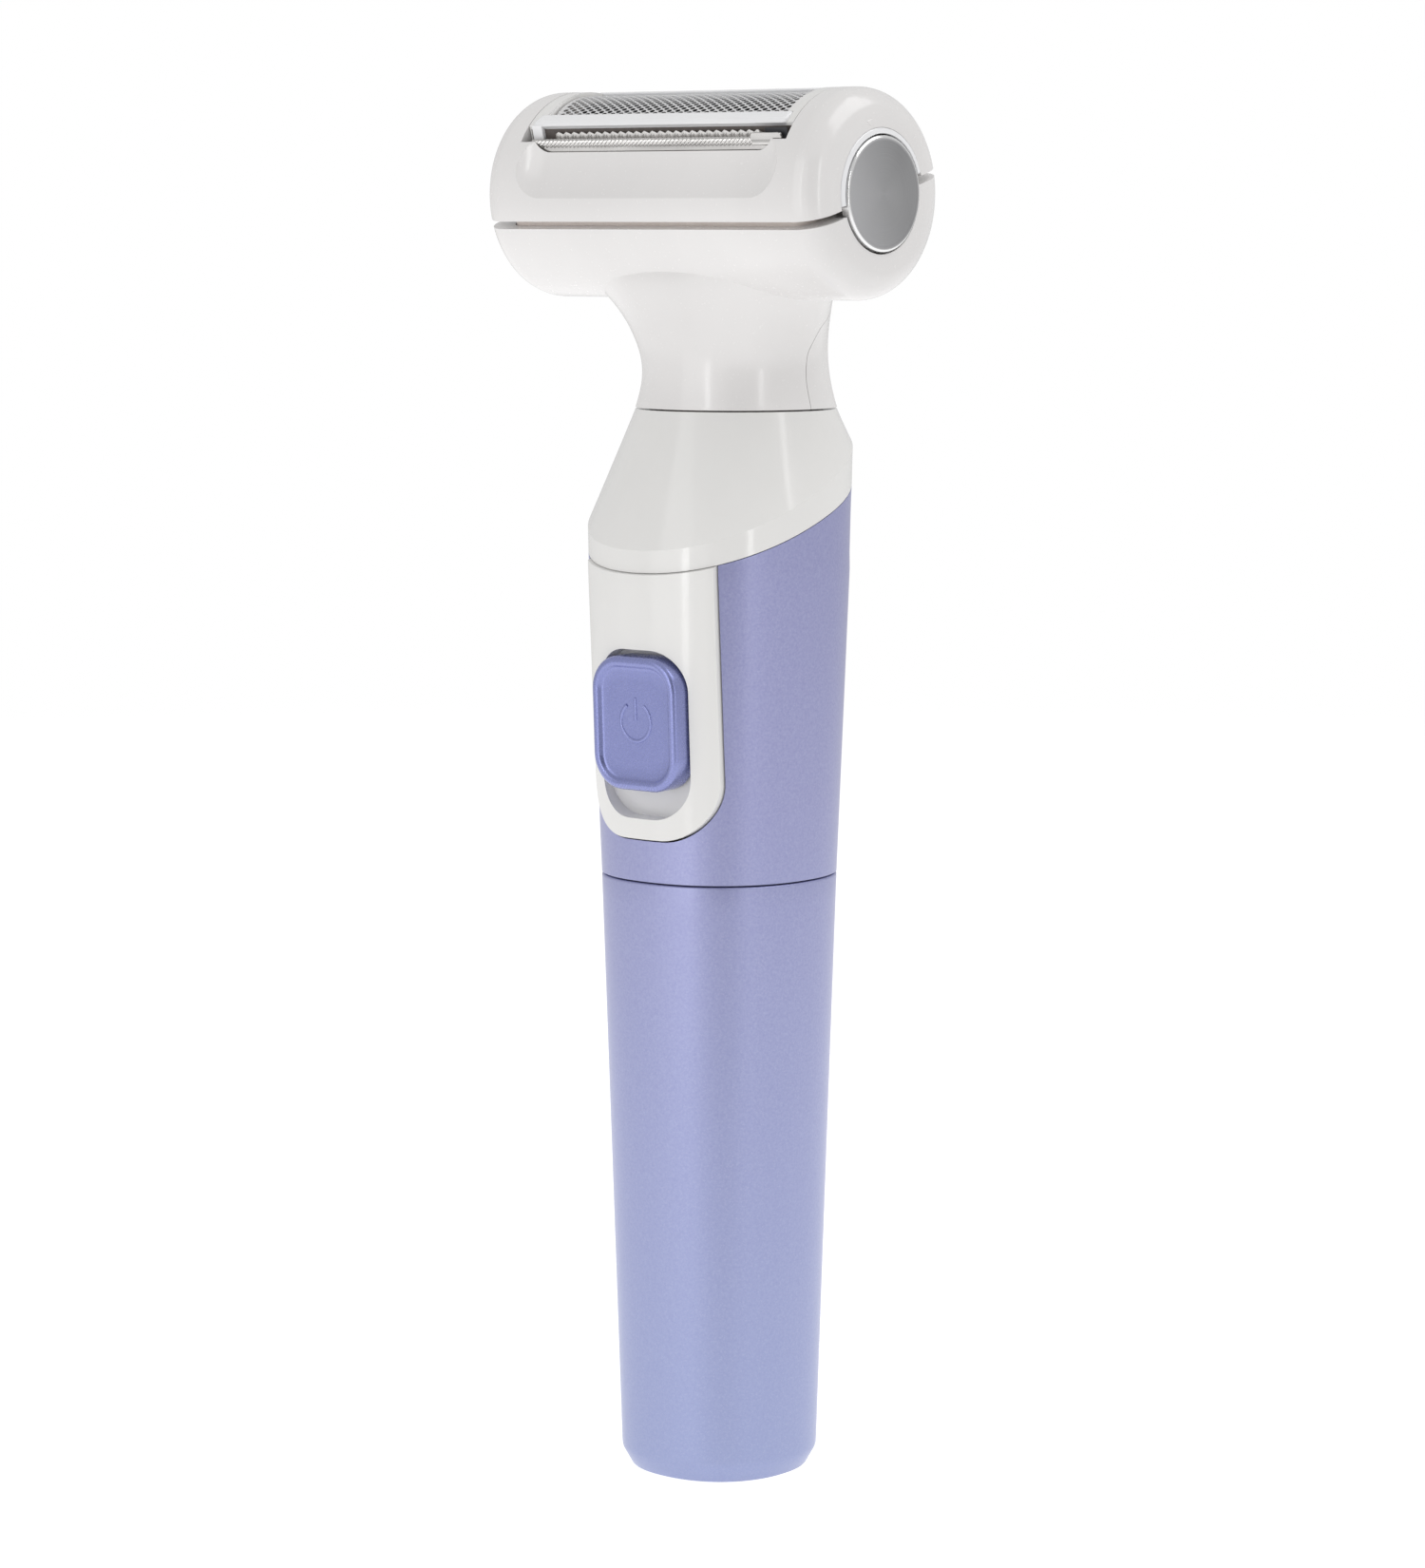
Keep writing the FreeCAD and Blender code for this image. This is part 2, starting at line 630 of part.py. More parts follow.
def lid_shell():
    shell = head_outer.common(high_half)
    shell = shell.cut(head_inner).cut(scoop(-1)).cut(scoop(1))
    window = frame_half + part_line
    shell = shell.cut(box((-window, window), (-comb_u - comb_radius - 0.1, comb_u + comb_radius + 0.1), (1, 30)))
    for side in (-1, 1):
        recess = bar_x(disc_radius + disc_gap_lid, head_half - recess_depth, head_half + 2)
        stem_hole = bar_x(stem_radius + slide_clearance + 0.1, head_half - end_wall - 4, head_half + 1)
        tool = recess.fuse(stem_hole)
        shell = shell.cut(tool if side > 0 else mirrored(tool, x_dir))
    return shell


lid_whole = lid_shell()
between_ends = box((recess_depth - head_half, head_half - recess_depth), (-30, 30), (-30, 30))


def lid():
    """The lid between its two end rings."""
    return in_head(lid_whole.common(between_ends))


def lid_end(side):
    """Ring round a release disc, on the end of the lid."""
    end = box((0, 30), (-30, 30), (-30, 30)) if side > 0 else box((-30, 0), (-30, 30), (-30, 30))
    return in_head(lid_whole.cut(between_ends).common(end))


def foil_frame():
    """White frame between the cheeks, with the window that the foil stands in."""
    body = bar_x(head_radius - 0.02, -frame_half, frame_half)
    body = body.common(box((-30, 30), (-frame_reach, frame_reach), (5.2, 30)))
    window = foil_half + 0.3
    body = body.cut(box((-window, window), (-foil_reach - 0.25, foil_reach + 0.25), (0, 30)))
    above_rails = box((-window, window), (-20, 20), (rail_top, 30))
    body = body.cut(above_rails).cut(guard_bar(-1)).cut(guard_bar(1))
    return in_head(body)


def guard_bar(side):
    """Polished skin guard beside the foil, resting on the frame's rail."""
    profile = [(-7.35, 10.62), (-6.95, 11.12), (-5.45, 11.5), (-5.15, 11.42), (-5.15, 10.9),
               (-6.2, 10.0), (-6.2, rail_top), (-frame_reach, rail_top), (-frame_reach, 10.2)]
    bar = polygon(profile, 2 * (frame_half - 1.0))
    return bar if side < 0 else mirrored(bar, y_dir)


def trimmer_comb(side):
    """Round toothed bar beside the guard."""
    half = frame_half - 0.9
    bar = bar_x(comb_radius, -half, half, -comb_u, comb_w)
    gap_pitch = tooth_pitch / 2
    count = int(2 * (half - 1.2) / gap_pitch)
    start = -(count - 1) * gap_pitch / 2
    gaps = [box((start + i * gap_pitch - 0.12, start + i * gap_pitch + 0.12),
                (-comb_u - 1, -comb_u + 1), (comb_w + 0.1, comb_w + 2)) for i in range(count)]
    bar = bar.cut(Part.makeCompound(gaps))
    seat = box((-half, half), (-comb_u - 0.45, -comb_u + 0.4), (comb_w - 2.6, comb_w - 0.3))
    comb = bar.fuse(seat)
    return in_head(comb if side < 0 else mirrored(comb, y_dir))


def trimmer_blade(side):
    """Moving toothed blade behind the comb."""
    half, top = blade_half, blade_top
    u = -comb_u + comb_radius + 0.12
    blade = box((-half, half), (u, u + 0.35), (comb_w - 2.2, top))
    count = int(2 * half / tooth_pitch)
    start = -(count - 1) * tooth_pitch / 2
    gaps = [box((start + i * tooth_pitch - 0.3, start + i * tooth_pitch + 0.3),
                (u - 1, u + 1), (top - 1.0, top + 1)) for i in range(count)]
    blade = blade.cut(Part.makeCompound(gaps))
    notch = box((-2.25, 2.25), (u - 1, u + 1), (0, comb_w - 1.2))
    blade = blade.cut(notch)
    return in_head(blade if side < 0 else mirrored(blade, y_dir))


# ---- floating foil ----
def foil():
    centre = foil_centre
    sheet = bar_x(foil_radius, -foil_half, foil_half, 0, centre)
    sheet = sheet.cut(bar_x(foil_radius - foil_thick, -30, 30, 0, centre))
    sheet = sheet.common(box((-30, 30), (-foil_reach, foil_reach), (centre, 30)))
    return in_head(sheet)


def foil_carrier():
    """Frame under the foil that holds its edges and rides up and down."""
    lip = foil_centre + math.sqrt((foil_radius - foil_thick) ** 2 - foil_reach ** 2) - 0.05
    ring = box((-foil_half, foil_half), (-foil_reach, foil_reach), (lip - 1.8 - float_travel, lip + 0.6))
    ring = ring.cut(box((-foil_half + 0.6, foil_half - 0.6), (-foil_reach + 0.6, foil_reach - 0.6), (0, 30)))
    ring = ring.common(bar_x(foil_radius - foil_thick - 0.01, -30, 30, 0, foil_centre))
    return in_head(ring)


# ---- cutter ----
def cutter_lamellae():
    """Thin arched blades that sweep under the foil."""
    r = foil_radius - foil_thick - cut_clearance
    pitch, thick = 1.25, 0.3
    count = int(2 * cutter_half / pitch)
    start = -(count - 1) * pitch / 2
    blades = []
    for i in range(count):
        x = start + i * pitch
        blade = bar_x(r, x - thick / 2, x + thick / 2, 0, foil_centre)
        blade = blade.cut(bar_x(r - 2.0, x - 1, x + 1, 0, foil_centre))
        blades.append(in_head(blade.common(box((-30, 30), (-cutter_reach, cutter_reach), (foil_centre, 30)))))
    return Part.makeCompound(blades)


def cutter_core():
    """Plastic block that the blades are set in."""
    r = foil_radius - foil_thick - cut_clearance - 2.0
    core = bar_x(r, -cutter_half, cutter_half, 0, foil_centre)
    core = core.common(box((-30, 30), (-cutter_reach + 0.6, cutter_reach - 0.6), (core_low, 30)))
    for side in (-1, 1):
        pocket = spring_radius + spring_wall + 0.48
        core = core.cut(Part.makeCylinder(pocket, 5.5, Vec(side * guide_x, 0, core_low - 1), z_dir))
    return in_head(core)


def cutter_carrier():
    """Slide that the rocker drives along X, with guides for the block and arms for the trimmers."""
    deck = box((-carrier_half, carrier_half), (-6.0, 6.0), (-0.8, 1.4))
    slot = box((-finger_radius - stroke_play, finger_radius + stroke_play), (-3.5, 3.5), (-2, 2))
    guides = [Part.makeCylinder(guide_radius, 6.2, Vec(side * guide_x, 0, 1.3), z_dir) for side in (-1, 1)]
    arms = []
    for side in (-1, 1):
        reach = (-7.75, -5.5) if side < 0 else (5.5, 7.75)
        blade = (-7.6, -6.9) if side < 0 else (6.9, 7.6)
        arms.append(box((-2, 2), reach, (-0.8, 0.4)))
        arms.append(box((-2, 2), blade, (0, comb_w - 1.6)))
    return in_head(fuse([deck] + guides + arms).cut(slot))


def cutter_springs():
    """Two springs that press the cutting block to the foil, as the sleeves that their coils fill."""
    sleeves = [tube(spring_radius + spring_wall, spring_radius - spring_wall, 1.45, core_low + 4.2,
                    Vec(side * guide_x, 0, 0)) for side in (-1, 1)]
    return Part.makeCompound([in_head(sleeve) for sleeve in sleeves])


os.makedirs("parts", exist_ok=True)
save("grip_shell", grip_shell())
save("battery_sleeve", battery_sleeve())
save("switch_panel", switch_panel())
save("shoulder_cap", shoulder_cap())
save("chassis", chassis())
save("seal_ring", seal_ring())
save("battery", battery())
save("battery_spring", battery_spring())
save("positive_strip", positive_strip())
save("negative_strip", negative_strip())
save("switch_leaf", switch_leaf())
save("motor_can", motor_can())
save("motor_end_cap", motor_end_cap())
save("motor_terminals", motor_terminals())
save("motor_magnets", motor_magnets())
save("armature", armature())
save("commutator", commutator())
save("motor_shaft", motor_shaft())
save("crank", crank())
save("shaft_seal", shaft_seal())
save("deck_screws", deck_screws())
save("switch_knob", switch_knob())
save("slider_contact", slider_contact())
save("head_base", head_base())
save("neck_cover", neck_cover())
save("bayonet_ring", bayonet_ring())
save("rocker_pin", rocker_pin())
save("rocker", rocker())
save("head_chassis", head_chassis())
save("head_screws", head_screws())
for word, side in (("left", -1), ("right", 1)):
    save("release_disc_" + word, release_disc(side))
    save("release_plunger_" + word, release_plunger(side))
save("lid", lid())
save("lid_end_left", lid_end(-1))
save("lid_end_right", lid_end(1))
save("foil_frame", foil_frame())
for word, side in (("front", -1), ("rear", 1)):
    save("guard_bar_" + word, in_head(guard_bar(side)))
    save("trimmer_comb_" + word, trimmer_comb(side))
    save("trimmer_blade_" + word, trimmer_blade(side))
save("foil", foil())
save("foil_carrier", foil_carrier())
save("cutter_lamellae", cutter_lamellae())
save("cutter_core", cutter_core())
save("cutter_carrier", cutter_carrier())
save("cutter_springs", cutter_springs())
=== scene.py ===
import json
import math

import bmesh
import bpy
import numpy as np
from mathutils import Matrix


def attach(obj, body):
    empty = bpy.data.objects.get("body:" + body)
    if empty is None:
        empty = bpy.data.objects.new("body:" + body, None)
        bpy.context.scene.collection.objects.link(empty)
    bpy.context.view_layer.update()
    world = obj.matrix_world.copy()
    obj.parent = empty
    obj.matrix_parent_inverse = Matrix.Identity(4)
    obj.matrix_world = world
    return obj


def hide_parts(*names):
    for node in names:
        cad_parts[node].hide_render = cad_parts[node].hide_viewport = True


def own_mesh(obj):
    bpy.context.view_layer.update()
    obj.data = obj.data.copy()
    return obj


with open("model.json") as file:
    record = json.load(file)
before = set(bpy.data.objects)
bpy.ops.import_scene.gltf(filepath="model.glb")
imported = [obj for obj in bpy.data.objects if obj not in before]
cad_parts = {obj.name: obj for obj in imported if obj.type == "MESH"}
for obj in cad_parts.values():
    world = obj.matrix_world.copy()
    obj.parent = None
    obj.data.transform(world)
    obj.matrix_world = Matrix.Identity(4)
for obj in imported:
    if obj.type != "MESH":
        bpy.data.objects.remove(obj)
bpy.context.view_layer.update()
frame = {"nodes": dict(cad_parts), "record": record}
nodes = frame["nodes"]
bodies = frame["record"]["behaviour"]["bodies"]
mm = 0.001

# camera, light and floor
cameraPlace = {"distance": 0.58, "azimuth": 40.5, "elevation": 6.95, "lens": 108.05,
               "aimHeight": 0.08534, "aimSide": -0.000844}


def fromTurn(azimuth, elevation, distance):  # point at an azimuth from the front and a height angle
    a, e = math.radians(azimuth), math.radians(elevation)
    return np.array((math.sin(a) * math.cos(e), -math.cos(a) * math.cos(e), math.sin(e))) * distance


def aimed(thing, place, target):  # turns a camera or lamp so that it looks from place to target
    back = np.array(place, float) - np.array(target, float)
    back /= np.linalg.norm(back)
    right = np.cross((0, 0, 1), back)
    right /= np.linalg.norm(right)
    up = np.cross(back, right)
    thing.matrix_world = Matrix(np.vstack((np.column_stack((right, up, back, place)), (0, 0, 0, 1))).tolist())


def addCamera(c):
    a = math.radians(c["azimuth"])
    target = np.array((math.cos(a), math.sin(a), 0)) * c["aimSide"] + (0, 0, c["aimHeight"])
    lens = bpy.data.cameras.new("camera")
    lens.lens, lens.sensor_width, lens.sensor_fit = c["lens"], 36, "AUTO"
    lens.clip_start, lens.clip_end = 0.01, 20
    camera = bpy.data.objects.new("camera", lens)
    bpy.context.scene.collection.objects.link(camera)
    aimed(camera, target + fromTurn(c["azimuth"], c["elevation"], c["distance"]), target)
    bpy.context.scene.camera = camera


softboxes = {
    "stripLeft": {"azimuth": 5, "elevation": 10, "distance": 0.9, "size": (0.11, 0.8), "watts": 0.9},
    "stripRight": {"azimuth": 71, "elevation": 10, "distance": 1.0, "size": (0.09, 0.7), "watts": 0.6},
    "broadLeft": {"azimuth": -12, "elevation": 12, "distance": 0.9, "size": (0.55, 0.9), "watts": 1.2},
    "backRight": {"azimuth": 122, "elevation": 57, "distance": 0.9, "size": (0.7, 0.6), "watts": 2.7},
}
lightTarget = (0, 0, 0.09)


def addSoftbox(name, b):
    lamp = bpy.data.lights.new(name, "AREA")
    lamp.shape, lamp.energy = "RECTANGLE", b["watts"]
    lamp.size, lamp.size_y = b["size"]
    box = bpy.data.objects.new(name, lamp)
    bpy.context.scene.collection.objects.link(box)
    aimed(box, fromTurn(b["azimuth"], b["elevation"], b["distance"]) + lightTarget, lightTarget)


card = {"azimuth": 46, "elevation": 4, "distance": 1.0, "half": (0.36, 0.6)}
room = {"light": 0.64, "seen": 1.0}


def lightRoom(r):  # the room lights the part evenly, and the camera sees it white
    world = bpy.data.worlds.new("room")
    bpy.context.scene.world = world
    world.use_nodes = True
    tree = world.node_tree
    tree.nodes.clear()
    ray = tree.nodes.new("ShaderNodeLightPath")
    strength = tree.nodes.new("ShaderNodeMapRange")
    strength.inputs["To Min"].default_value, strength.inputs["To Max"].default_value = r["light"], r["seen"]
    tree.links.new(ray.outputs["Is Camera Ray"], strength.inputs["Value"])
    glow = tree.nodes.new("ShaderNodeBackground")
    glow.inputs["Color"].default_value = (1, 1, 1, 1)
    tree.links.new(strength.outputs[0], glow.inputs["Strength"])
    end = tree.nodes.new("ShaderNodeOutputWorld")
    tree.links.new(glow.outputs[0], end.inputs["Surface"])


def addCard(c):  # a dark card behind the camera, which gives the gloss a darker middle
    mesh = bpy.data.meshes.new("card")
    x, y = c["half"]
    mesh.from_pydata([(-x, -y, 0), (x, -y, 0), (x, y, 0), (-x, y, 0)], [], [(0, 1, 2, 3)])
    plate = bpy.data.objects.new("card", mesh)
    bpy.context.scene.collection.objects.link(plate)
    aimed(plate, fromTurn(c["azimuth"], c["elevation"], c["distance"]) + lightTarget, lightTarget)
    f = Finish("blackCard")
    weave = f.noise(40.0, 2.0)
    black = f.mix(weave, colour(60, 60, 60), colour(72, 72, 72))
    mesh.materials.append(f.done(Base_Color=black, Roughness=0.9))


addCamera(cameraPlace)
for name, b in softboxes.items():
    addSoftbox(name, b)
lightRoom(room)
bpy.context.scene.view_settings.view_transform = "Standard"


# finishes
class Wire:  # a socket that maths can be written with; each step adds a Math node
    def __init__(self, finish, socket):
        self.finish, self.socket = finish, socket

    def step(self, operation, other):
        return self.finish.node("ShaderNodeMath", {"operation": operation}, {0: self, 1: other})

    def __add__(self, other):
        return self.step("ADD", other)

    def __sub__(self, other):
        return self.step("SUBTRACT", other)

    def __mul__(self, other):
        return self.step("MULTIPLY", other)

    def __pow__(self, other):
        return self.step("POWER", other)


class Finish:  # one material; node() adds any node, mix() blends colours, done() closes it
    def __init__(self, name):
        self.material = bpy.data.materials.new(name)
        self.material.use_nodes = True
        self.tree = self.material.node_tree
        self.tree.nodes.clear()

    def node(self, kind, settings=None, sockets=None, out=0):
        made = self.tree.nodes.new(kind)
        for key, value in (settings or {}).items():
            setattr(made, key, value)
        for key, value in (sockets or {}).items():
            self.feed(made.inputs[key], value)
        return Wire(self, made.outputs[out])

    def feed(self, socket, value):
        if isinstance(value, Wire):
            self.tree.links.new(value.socket, socket)
        else:
            socket.default_value = value

    def place(self, scale=(1, 1, 1), centre=(0, 0, 0), turn=(0, 0, 0)):  # object coordinates, moved, turned
        spot = self.node("ShaderNodeTexCoord", out=3)
        moved = self.node("ShaderNodeVectorMath", {"operation": "SUBTRACT"}, {0: spot, 1: centre})
        change = {"Vector": moved, "Rotation": turn, "Scale": scale}
        return self.node("ShaderNodeMapping", {"vector_type": "POINT"}, change)

    def noise(self, scale, detail=2.0, spot=None, rough=0.5):
        return self.node("ShaderNodeTexNoise", None, {"Vector": spot or self.place(), "Scale": scale,
                                                      "Detail": detail, "Roughness": rough})

    def ramp(self, value, low, high, toLow=0.0, toHigh=1.0):
        return self.node("ShaderNodeMapRange", None, {"Value": value, "From Min": low, "From Max": high,
                                                      "To Min": toLow, "To Max": toHigh})

    def mix(self, share, first, second, blend="MIX"):
        return self.node("ShaderNodeMix", {"data_type": "RGBA", "blend_type": blend},
                         {0: share, 6: first, 7: second}, out=2)

    def bump(self, height, strength, distance):
        sockets = {"Height": height, "Strength": strength, "Distance": distance}
        return self.node("ShaderNodeBump", None, sockets)

    def done(self, **sockets):
        shader = self.tree.nodes.new("ShaderNodeBsdfPrincipled")
        for key, value in sockets.items():
            self.feed(shader.inputs[key.replace("_", " ")], value)
        end = self.tree.nodes.new("ShaderNodeOutputMaterial")
        self.tree.links.new(shader.outputs[0], end.inputs["Surface"])
        return self.material


def colour(r, g, b):  # 0 to 255 as seen on a screen, to linear
    c = np.array((r, g, b)) / 255
    c = np.where(c <= 0.04045, c / 12.92, ((c + 0.055) / 1.055) ** 2.4)
    return (*c.tolist(), 1.0)


def pearlPaint(name, tint, deep, glint, roughness=0.42, grain=0.08):
    # fine mica in a satin lacquer, bluer towards the foot as a painted reflection of the pale floor
    f = Finish(name)
    spot = f.place()
    height = f.node("ShaderNodeSeparateXYZ", None, {0: spot}, out=2)
    mica = f.node("ShaderNodeTexVoronoi", {"feature": "F1"}, {"Vector": spot, "Scale": 6200.0}, out=1)
    flake = f.node("ShaderNodeSeparateColor", None, {0: mica})
    fine = f.noise(3000.0, 2.0, spot, 0.6)
    cloud = f.noise(70.0, 2.0, spot)
    base = f.mix(f.ramp(fine, 0.25, 0.75), deep, tint)
    base = f.mix(f.ramp(cloud, 0.35, 0.65, 0.0, 0.12), base, deep)
    # painted reflection of the pale floor: the colour turns bluer towards the foot
    base = f.mix(f.ramp(height, 0.0, 0.085, 0.5, 0.0), base, colour(146, 162, 199))
    base = f.mix(f.ramp(flake, 0.7, 1.0, 0.0, 0.13), base, glint)
    rough = f.ramp(flake, 0.0, 1.0, roughness - 0.04, roughness + 0.05)
    return f.done(Base_Color=base, Roughness=rough, Metallic=f.ramp(flake, 0.0, 1.0, 0.55, 0.68),
                  Coat_Weight=0.35, Coat_Roughness=0.2, Normal=f.bump(fine + flake * 0.4, grain, 0.00002))


def glossPlastic(name, tint, shade, roughness=0.16, coat=0.5):  # moulded gloss, faint flow mottle and dust
    f = Finish(name)
    spot = f.place()
    flow = f.noise(60.0, 3.0, f.place((1, 1, 0.35)))
    speck = f.noise(2600.0, 2.0, spot)
    base = f.mix(f.ramp(flow, 0.35, 0.65), shade, tint)
    base = f.mix(f.ramp(speck, 0.68, 0.8, 0.0, 0.10), base, shade)
    rough = f.ramp(speck, 0.3, 0.75, roughness - 0.04, roughness + 0.07)
    return f.done(Base_Color=base, Roughness=rough, Coat_Weight=coat, Coat_Roughness=0.06,
                  Normal=f.bump(flow * 0.6 + speck * 0.1, 0.06, 0.0001))


def mattePlastic(name, tint, shade, grain=1900.0, roughness=0.5):  # spark-eroded grain of an inner moulding
    f = Finish(name)
    spot = f.place()
    fine = f.noise(grain, 4.0, spot, 0.6)
    base = f.mix(f.ramp(fine, 0.35, 0.7), shade, tint)
    return f.done(Base_Color=base, Roughness=f.ramp(fine, 0.3, 0.7, roughness - 0.08, roughness + 0.1),
                  Normal=f.bump(fine, 0.25, 0.00006))


def brushedSteel(name, tint, shade, along, roughness=0.26):  # fine lines stretched along one axis
    f = Finish(name)
    lines = f.noise(300.0, 6.0, f.place(along), 0.7)
    smudge = f.noise(120.0, 2.0)
    base = f.mix(f.ramp(lines, 0.3, 0.7), shade, tint)
    rough = f.ramp(lines, 0.3, 0.7, roughness - 0.07, roughness + 0.08) + f.ramp(smudge, 0.4, 0.8, 0.0, 0.05)
    return f.done(Base_Color=base, Metallic=1.0, Roughness=rough, Normal=f.bump(lines, 0.12, 0.00003))


def turnedDisc(name, centre, tilt):  # turned face: rings, a painted conical sheen round the disc's centre and a painted highlight on its front side
    f = Finish(name)
    spot = f.place(centre=centre, turn=(-tilt, 0, 0))
    y = f.node("ShaderNodeSeparateXYZ", None, {0: spot}, out=1)
    z = f.node("ShaderNodeSeparateXYZ", None, {0: spot}, out=2)
    reach = (y * y + z * z) ** 0.5
    rings = f.node("ShaderNodeTexNoise", {"noise_dimensions": "1D"},
                   {"W": reach * 9000.0, "Scale": 1.0, "Detail": 3.0})
    turn = f.node("ShaderNodeMath", {"operation": "ARCTAN2"}, {0: z, 1: y})
    paintedSheen = f.node("ShaderNodeMath", {"operation": "COSINE"}, {0: turn * 2.0 + 0.6})
    rim = f.ramp(reach, 0.0064, 0.00655)
    base = f.mix(f.ramp(rings, 0.3, 0.7), colour(150, 150, 152), colour(162, 162, 163))
    # painted sheen: a lighter colour in two opposite sectors round the disc's centre
    base = f.mix(f.ramp(paintedSheen, -0.4, 1.0, 0.0, 0.2), base, colour(186, 186, 187))
    # painted highlight: the disc's front side lighter, where the light falls from the front-left
    base = f.mix(f.ramp(y, -0.0066, 0.004, 0.75, 0.0), base, colour(204, 204, 206))
    base = f.mix(rim, base, colour(232, 232, 232))
    return f.done(Base_Color=base, Metallic=0.9, Roughness=f.ramp(rings, 0.3, 0.7, 0.34, 0.42) - rim * 0.22,
                  Normal=f.bump(rings, 0.15, 0.00002))


tiltTurn = math.radians(15.6)
headCentre = (0.0, -0.0019, 0.15745)
alongBlade, alongStrip = (0.3, 2, 2), (2, 2, 0.2)  # scales that draw brushed lines out along X and along Z
finishes = {
    "pearl_lavender": pearlPaint("pearlLavender", colour(163, 165, 203), colour(149, 151, 194),
                                 colour(204, 206, 228)),
    "knob_lavender": pearlPaint("knobLavender", colour(138, 144, 196), colour(132, 138, 191),
                                colour(182, 186, 220), 0.28, 0.02),
    "white_shell": glossPlastic("whiteShell", colour(229, 228, 226), colour(225, 224, 222)),
    "head_white": glossPlastic("headWhite", colour(229, 227, 226), colour(224, 222, 221), 0.22, 0.35),
    "inner_plastic": mattePlastic("innerPlastic", colour(240, 230, 224), colour(232, 221, 214)),
    "dark_plastic": mattePlastic("darkPlastic", colour(92, 84, 80), colour(78, 71, 68)),
    "bright_disc": turnedDisc("brightDisc", headCentre, tiltTurn),
    "guard_pearl": glossPlastic("guardPearl", colour(240, 240, 241), colour(235, 235, 237), 0.14, 0.6),
    "foil_steel": brushedSteel("foilSteel", colour(250, 250, 250), colour(238, 238, 240), (0.2, 2, 2), 0.3),
    "blade_steel": brushedSteel("bladeSteel", colour(222, 220, 218), colour(196, 194, 192), alongBlade, 0.22),
    # painted shade: the lamellae are made dark so that the foil's holes look dark
    "lamella_steel": brushedSteel("lamellaSteel", colour(92, 92, 95), colour(66, 66, 69), alongBlade, 0.35),
    "can_steel": brushedSteel("canSteel", colour(190, 190, 192), colour(165, 165, 168), (2, 2, 0.1), 0.34),
    "contact_brass": brushedSteel("contactBrass", colour(222, 190, 120), colour(200, 166, 98),
                                  alongStrip, 0.3),
    "copper_core": brushedSteel("copperCore", colour(190, 120, 84), colour(160, 96, 66), alongStrip, 0.4),
    "magnet_grey": mattePlastic("magnetGrey", colour(92, 92, 95), colour(76, 76, 80), 2600.0, 0.45),
    "seal_rubber": mattePlastic("sealRubber", colour(60, 60, 64), colour(48, 48, 52), 1500.0, 0.6),
    "cell_jacket": glossPlastic("cellJacket", colour(196, 198, 204), colour(186, 188, 196), 0.3, 0.3),
}
for node in nodes.values():
    for slot in node.material_slots:
        slot.material = finishes[slot.material.name]
addCard(card)
print("camera and lights are in place, finishes are on the frame")

# mesh helpers
def gridFaces(rows, columns, wrapRows=False, wrapColumns=False):  # quads of a grid of points, row by row
    r = np.arange(rows if wrapRows else rows - 1)[:, None]
    c = np.arange(columns if wrapColumns else columns - 1)[None, :]
    nextR, nextC = (r + 1) % rows, (c + 1) % columns
    corners = (r * columns + c, r * columns + nextC, nextR * columns + nextC, nextR * columns + c)
    return np.stack(np.broadcast_arrays(*corners), -1).reshape(-1, 4)


def addPiece(name, points, faces, slotName, body, replaced=(), sharp=32, thick=0.0, weld=1e-6):
    # points in millimetres, faces as rows of point numbers; doubles are merged and the faces turned outwards
    mesh = bpy.data.meshes.new(name)
    mesh.from_pydata((np.asarray(points, float).reshape(-1, 3) * mm).tolist(), [], [list(f) for f in faces])
    shape = bmesh.new()
    shape.from_mesh(mesh)
    bmesh.ops.remove_doubles(shape, verts=shape.verts, dist=weld)
    bmesh.ops.dissolve_degenerate(shape, edges=shape.edges, dist=weld * 0.5)
    bmesh.ops.recalc_face_normals(shape, faces=shape.faces)
    for edge in shape.edges:
        edge.smooth = len(edge.link_faces) == 2 and edge.calc_face_angle(0.0) < math.radians(sharp)
    for face in shape.faces:
        face.smooth = True
    shape.to_mesh(mesh)
    shape.free()
    mesh.materials.append(finishes[slotName])
    piece = bpy.data.objects.new(name, mesh)
    bpy.context.scene.collection.objects.link(piece)
    if thick:
        wall = piece.modifiers.new("wall", "SOLIDIFY")
        wall.thickness, wall.offset = thick * mm, -1.0
    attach(piece, body)
    for node in replaced:
        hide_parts(node)
    return piece


def joined(*parts):  # several (points, faces) made one
    points, faces, count = [], [], 0
    for p, f in parts:
        p = np.asarray(p, float).reshape(-1, 3)
        faces += [[i + count for i in row] for row in f]
        points.append(p)
        count += len(p)
    return np.concatenate(points), faces


def inHead(points):  # from the tilted head's own frame (x, rearward u, upward w) to the shared frame
    x, u, w = np.moveaxis(np.asarray(points, float), -1, 0)
    c, s = math.cos(tiltTurn), math.sin(tiltTurn)
    return np.stack((x, headCentre[1] / mm + u * c - w * s, headCentre[2] / mm + u * s + w * c), -1)


def alongX(outline, xs, closed=True):  # a (u, w) outline carried along X, with flat end caps
    outline, xs = np.asarray(outline, float), np.asarray(xs, float)
    n, m = len(xs), len(outline)
    across, section = np.broadcast_to(xs[:, None, None], (n, m, 1)), np.broadcast_to(outline, (n, m, 2))
    points = np.concatenate((across, section), -1)
    faces = gridFaces(n, m, wrapColumns=closed).tolist()
    if closed:
        faces += [list(range(m))[::-1], [(n - 1) * m + i for i in range(m)]]
    return points.reshape(-1, 3), faces


